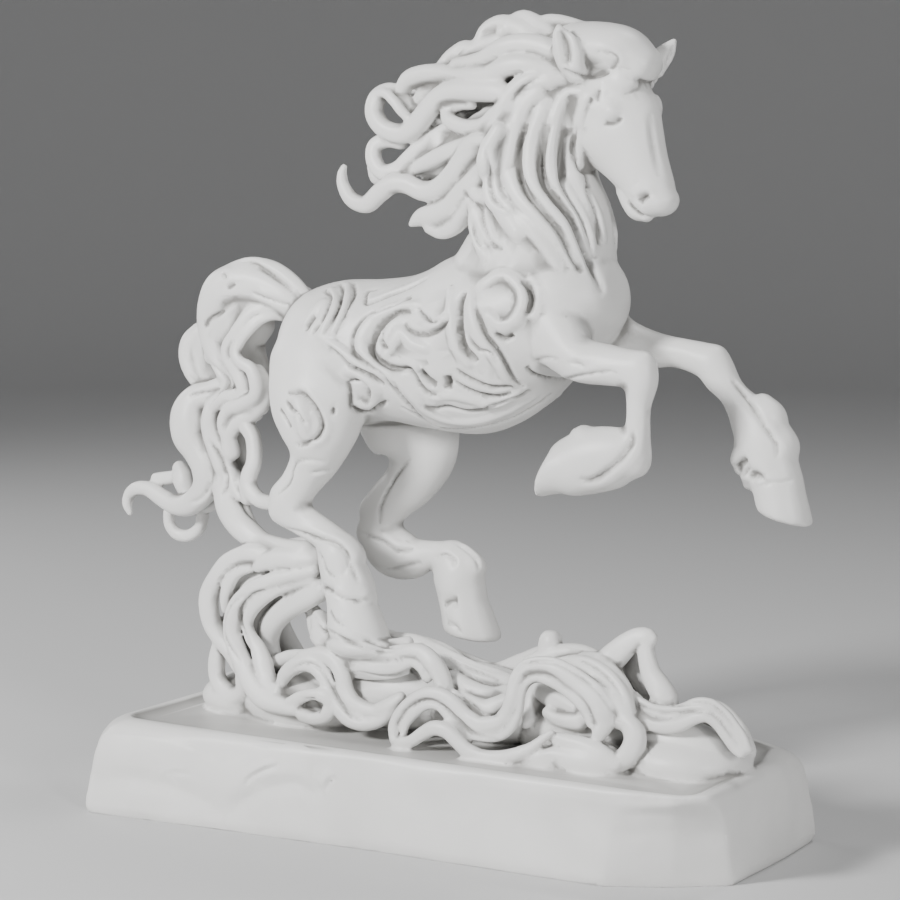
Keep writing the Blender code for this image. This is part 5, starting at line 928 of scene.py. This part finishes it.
class Carver:
    """Cuts grooves into a fine skin, and lifts folds beside them."""

    def __init__(self, thing):
        self.mesh = thing.data
        self.guide = skin_of(thing)
        self.points = vectors_of(self.mesh, "co")
        self.normals = vectors_of(self.mesh, "normal")
        self.cut = np.zeros(len(self.points))
        self.lift = np.zeros(len(self.points))

    def track(self, rows, plane, side):
        """Rows x, z of a line seen by the eye, as closely spaced points with normals on the skin."""
        line = []
        for x, z in smooth_rows(rows, LINE_STEPS):
            hit, normal = seen(self.guide, x, z, plane, side)
            if hit is not None and (not line or (hit - line[-1][0]).length >= LINE_SPACING):
                line.append((hit, normal))
        return line

    def near(self, centres, reach):
        """Indices of the vertices within reach of any centre, their distances and their nearest centres."""
        low = centres.min(0) - reach
        high = centres.max(0) + reach
        index = np.nonzero(np.all((self.points > low) & (self.points < high), axis=1))[0]
        if not len(index):
            return index, index, index
        gaps = self.points[index][:, None, :] - centres[None, :, :]
        squares = np.einsum("ijk,ijk->ij", gaps, gaps)
        which = squares.argmin(1)
        distance = np.sqrt(squares[np.arange(len(index)), which])
        kept = distance < reach
        return index[kept], distance[kept], which[kept]

    def groove(self, rows, width, depth, lip, plane, side=-1):
        """A groove of that width and depth in millimetres; a lip raises the skin on its left side."""
        line = self.track(rows, plane, side)
        if len(line) < 3:
            return
        centres = np.array([tuple(point) for point, normal in line], np.float32)
        normals = np.array([tuple(normal) for point, normal in line], np.float32)
        along = np.gradient(centres, axis=0)
        along /= np.maximum(np.linalg.norm(along, axis=1), 1e-9)[:, None]
        left = np.cross(normals, along) * -side
        share = np.linspace(0, 1, len(line))
        taper = np.sqrt(np.clip(np.minimum(share, 1 - share) / LINE_ENDS, 0, 1))
        reach = width * MM * LINE_REACH
        index, distance, which = self.near(centres, reach)
        facing = np.einsum("ij,ij->i", self.normals[index], normals[which]) > LEAST_FACING
        index, distance, which = index[facing], distance[facing], which[facing]
        shape = np.exp(-(distance / (width * MM * 0.5)) ** 2) * taper[which]
        self.cut[index] = np.maximum(self.cut[index], depth * MM * shape)
        if lip:
            across = np.einsum("ij,ij->i", self.points[index] - centres[which], left[which])
            beside = np.clip(across / (width * MM), 0, None)
            swell = beside * np.exp(1 - beside) * np.exp(-(distance / reach) ** 4) * taper[which]
            self.lift[index] = np.maximum(self.lift[index], lip * MM * swell)

    def swelling(self, spot, radius, height, plane, side):
        """A soft round swelling."""
        hit, normal = seen(self.guide, spot[0], spot[1], plane, side)
        if hit is None:
            return
        index, distance, which = self.near(np.array([tuple(hit)], np.float32), radius * MM * 1.6)
        shape = np.exp(-(distance / (radius * MM * 0.75)) ** 2)
        self.lift[index] = np.maximum(self.lift[index], height * MM * shape)

    def done(self):
        """Moves the skin."""
        move_to(self.mesh, self.points + self.normals * (self.lift - self.cut)[:, None].astype(np.float32))


def bare_horse():
    """Trunk, neck, head and legs, run together."""
    bm = bmesh.new()
    for rows in LIMBS:
        swept(bm, rows)
    for shape in HOOVES:
        hoof(bm, *shape)
    horse = joined("horse", [object_of("limbs", bm), mass("chest", *CHEST)])
    one_skin(horse, BODY_VOXEL, BODY_ROUNDS)
    return horse


def cast_figure():
    """The whole casting: horse, relief, mane, tail, waves and block under one skin."""
    horse = bare_horse()
    tree = skin_of(horse)
    bm = bmesh.new()
    for side in (-1, 1):
        neck = NECK_RIDGES[NEAR_ONLY if side > 0 else 0:] + RIDGE_ROOTS
        for ridges, plane, sink in ((neck, NECK_PLANE, NECK_SINK), (SCROLLS, FLANK_PLANE, SCROLL_SINK)):
            for rows in ridges:
                locks(bm, laid_on(tree, rows, plane, side, sink), steps=RIDGE_STEPS, count=RIDGE_CORNERS)
    relief = object_of("relief", bm)
    horse = joined("horse", [horse, relief])
    bm = bmesh.new()
    for rows in CRISP:
        swept(bm, rows)
    for strands, depth in ((TAIL, TAIL_VALLEYS), (MANE + DRAWN_OUT, MANE_VALLEYS), (WAVES, WATER_VALLEYS)):
        for rows in strands:
            locks(bm, rows, lobes=STRAND_LOBES, depth=depth, twist=STRAND_TWIST, turn=TOWARD_VIEW,
                  count=STRAND_CORNERS)
    hair = object_of("hair_and_water", bm)
    swells = [mass("swell", centre, sizes) for centre, sizes in SWELLS + FACE]
    statue = joined("statue", [horse, hair, worn(rough_block())] + swells)
    one_skin(statue, CAST_VOXEL, CAST_ROUNDS)
    return statue


def carve(statue):
    """Slots of the neck, scrolls of the flanks, and the lines of head, legs, tail, water and block."""
    carver = Carver(statue)
    for lines, plane, deeper in ((NECK_SLOTS, NECK_PLANE, 1.0), (FLANK_LINES, FLANK_PLANE, FLANK_DEEPER),
                                 (HEAD_LINES, HEAD_PLANE, HEAD_DEEPER)):
        for rows, width, depth, lip in lines:
            carver.groove(rows, width, depth * deeper, lip, plane)
            carver.groove(rows, width, depth, lip, plane, side=1)
    for spot, radius, height in HEAD_SWELLS:
        for side in (-1, 1):
            carver.swelling(spot, radius, height, HEAD_PLANE, side)
    for lines, plane in ((MANE_LINES, NECK_PLANE), (NEAR_LEG_LINES, NEAR_LEG_PLANE),
                         (FAR_LEG_LINES, FAR_LEG_PLANE), (TAIL_LINES, TAIL_PLANE),
                         (WATER_LINES, WATER_PLANE), (BLOCK_LINES, BLOCK_PLANE)):
        for rows, width, depth, lip in lines:
            carver.groove(rows, width, depth, lip, plane)
    carver.done()


def thinned(thing, triangles):
    """About so many triangles, most of them where the skin bends."""
    bare(thing)
    faces = sum(len(face.vertices) - 2 for face in thing.data.polygons)
    thin = thing.modifiers.new("thin", "DECIMATE")
    thin.ratio = min(1.0, triangles / faces)
    thin.use_collapse_triangulate = True
    bpy.ops.object.modifier_apply(modifier=thin.name)


def largest_piece(thing):
    """Loose crumbs of skin taken away."""
    bare(thing)
    bpy.ops.object.mode_set(mode="EDIT")
    bm = bmesh.from_edit_mesh(thing.data)
    left = set(bm.verts)
    pieces = []
    while left:
        piece = [left.pop()]
        for vert in piece:
            near = {edge.other_vert(vert) for edge in vert.link_edges} & left
            left -= near
            piece.extend(near)
        pieces.append(piece)
    pieces.sort(key=len)
    crumbs = [vert for piece in pieces[:-1] for vert in piece]
    bmesh.ops.delete(bm, geom=crumbs, context="VERTS")
    bmesh.update_edit_mesh(thing.data)
    bpy.ops.object.mode_set(mode="OBJECT")


def painted_hollow_shade(thing, name, rounds, full):
    """Painted shade: an attribute that is 1 in hollows as deep as full below the skin smoothed by so many
    rounds.

    It darkens the stone's colour there as shade would. It is 0 outside them, and fades out over the flat
    sides of the block.
    """
    mesh = thing.data
    count = len(mesh.vertices)
    points = vectors_of(mesh, "co").astype(float)
    ends = np.zeros(len(mesh.edges) * 2, np.int64)
    mesh.edges.foreach_get("vertices", ends)
    ends = ends.reshape(-1, 2)
    starts = np.concatenate((ends[:, 0], ends[:, 1]))
    stops = np.concatenate((ends[:, 1], ends[:, 0]))
    shares = np.maximum(np.bincount(starts, minlength=count), 1)
    smooth = points.copy()
    for turn in range(rounds):
        smooth = np.stack([np.bincount(starts, weights=smooth[stops, axis], minlength=count) / shares
                           for axis in range(3)], axis=1)
    depth = np.einsum("ij,ij->i", smooth - points, vectors_of(mesh, "normal"))
    above = np.clip((points[:, 2] - BLOCK_HEIGHT + SHADE_FADE) / SHADE_FADE, 0, 1)
    shade = np.clip(depth / full, 0, 1) * above
    layer = mesh.attributes.new(name, "FLOAT", "POINT")
    layer.data.foreach_set("value", shade.astype(np.float32))


def sawn_flat(thing):
    """The underside sawn off flat at z = 0 and closed."""
    bare(thing)
    bpy.ops.object.mode_set(mode="EDIT")
    bpy.ops.mesh.select_all(action="SELECT")
    bpy.ops.mesh.bisect(plane_co=(0, 0, 0), plane_no=(0, 0, 1), use_fill=True, clear_inner=True)
    bpy.ops.mesh.select_all(action="SELECT")
    bpy.ops.mesh.quads_convert_to_tris()
    bpy.ops.object.mode_set(mode="OBJECT")


def kept_in_box(thing, box):
    """The skin held inside the solid's own box."""
    low, high = (np.array(corner, np.float32) for corner in box)
    move_to(thing.data, np.clip(vectors_of(thing.data, "co"), low, high))


def noise(net, place, scale, detail):
    """Noise spread through the object's own space."""
    node = net.nodes.new("ShaderNodeTexNoise")
    node.inputs["Scale"].default_value = scale
    node.inputs["Detail"].default_value = detail
    net.links.new(place.outputs["Object"], node.inputs["Vector"])
    return node


def plain(name, colour, roughness):
    """A material of one colour, with its shader."""
    paint = bpy.data.materials.new(name)
    paint.use_nodes = True
    shader = paint.node_tree.nodes["Principled BSDF"]
    shader.inputs["Base Color"].default_value = colour
    shader.inputs["Roughness"].default_value = roughness
    return paint, shader


def cast_stone():
    """Off-white cast marble: soft clouds, painted shade in its hollows, a fine grain and a satin finish."""
    stone, shader = plain("cast_stone", STONE_PALER, 0.42)
    net = stone.node_tree
    shader.inputs["Specular IOR Level"].default_value = 0.4
    place = net.nodes.new("ShaderNodeTexCoord")
    clouds = noise(net, place, 14.0, 5.0)
    tint = net.nodes.new("ShaderNodeValToRGB")
    tint.color_ramp.elements[0].position = 0.30
    tint.color_ramp.elements[0].color = STONE_DARKER
    tint.color_ramp.elements[1].position = 0.70
    tint.color_ramp.elements[1].color = STONE_PALER
    net.links.new(clouds.outputs["Fac"], tint.inputs["Fac"])
    # Painted shade: the colour is mixed toward a dark tone in the hollows, where shade falls
    hollow_shade = net.nodes.new("ShaderNodeAttribute")
    hollow_shade.attribute_name = "hollow_shade"
    painted_shade = net.nodes.new("ShaderNodeMix")
    painted_shade.data_type = "RGBA"
    painted_shade.inputs["B"].default_value = PAINTED_SHADE_TONE
    net.links.new(hollow_shade.outputs["Fac"], painted_shade.inputs["Factor"])
    net.links.new(tint.outputs["Color"], painted_shade.inputs["A"])
    net.links.new(painted_shade.outputs["Result"], shader.inputs["Base Color"])
    grain = noise(net, place, 900.0, 3.0)
    bump = net.nodes.new("ShaderNodeBump")
    bump.inputs["Strength"].default_value = 0.12
    bump.inputs["Distance"].default_value = 0.0006
    net.links.new(grain.outputs["Fac"], bump.inputs["Height"])
    net.links.new(bump.outputs["Normal"], shader.inputs["Normal"])
    return stone


def floor():
    """A plain pale floor whose far rim rises into a soft backdrop all round."""
    bm = bmesh.new()
    rows = [(0.01, 0.0)] + [(FLOOR_REACH * share, 0.0) for share in (0.25, 0.5, 0.75, 1.0)]
    for turn in range(1, BACKDROP_STEPS + 1):
        angle = math.radians(90 / BACKDROP_STEPS * turn)
        rows.append((FLOOR_REACH + BACKDROP * math.sin(angle), BACKDROP * (1 - math.cos(angle))))
    rows.append((FLOOR_REACH + BACKDROP, BACKDROP * 1.6))
    turns = [math.tau * k / FLOOR_CORNERS for k in range(FLOOR_CORNERS)]
    loops = [[bm.verts.new((radius * math.cos(t), radius * math.sin(t), height)) for t in turns]
             for radius, height in rows]
    for inner, outer in zip(loops, loops[1:]):
        for k in range(FLOOR_CORNERS):
            n = (k + 1) % FLOOR_CORNERS
            bm.faces.new((inner[k], outer[k], outer[n], inner[n]))
    bm.faces.new(loops[0])
    ground = object_of("studio_floor", bm)
    ground.data.shade_smooth()
    return ground


def studio():
    """Floor, soft lights and the camera at the photograph's place."""
    ground = floor()
    ground.data.materials.append(plain("pale_floor", FLOOR_TONE, 0.9)[0])
    for name, spot, size, power in LIGHTS:
        bpy.ops.object.light_add(type="AREA", location=spot)
        lamp = bpy.context.active_object
        lamp.name = name
        lamp.data.size = size
        lamp.data.energy = power
        lamp.rotation_euler = (Vector(LIT_SPOT) - Vector(spot)).to_track_quat("-Z", "Y").to_euler()
    world = bpy.data.worlds.new("soft_room")
    world.use_nodes = True
    world.node_tree.nodes["Background"].inputs["Color"].default_value = ROOM_TONE
    world.node_tree.nodes["Background"].inputs["Strength"].default_value = ROOM_LIGHT
    bpy.context.scene.world = world
    bpy.ops.object.camera_add(location=CAMERA_PLACE,
                              rotation=(math.radians(90 - CAMERA_DOWN), 0, math.radians(CAMERA_TURN)))
    camera = bpy.context.active_object
    camera.name = "camera"
    camera.data.lens = CAMERA_LENS
    camera.data.sensor_width = CAMERA_SENSOR
    bpy.context.scene.camera = camera


def main():
    """The statue, finished and bound to its solid, in its studio."""
    statue = cast_figure()
    carve(statue)
    thinned(statue, SKIN_TRIANGLES)
    largest_piece(statue)
    sawn_flat(statue)
    kept_in_box(statue, CAD_BOX)
    # Painted shade in the hollows, kept as an attribute for the stone's colour
    painted_hollow_shade(statue, "hollow_shade", SHADE_ROUNDS, FULL_SHADE_DEPTH)
    statue.name = "horse_statue_cast"
    bare(statue)
    bpy.ops.object.shade_smooth()
    statue.data.materials.clear()
    statue.data.materials.append(cast_stone())
    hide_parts("horse_statue")
    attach(statue, "root")
    studio()


main()
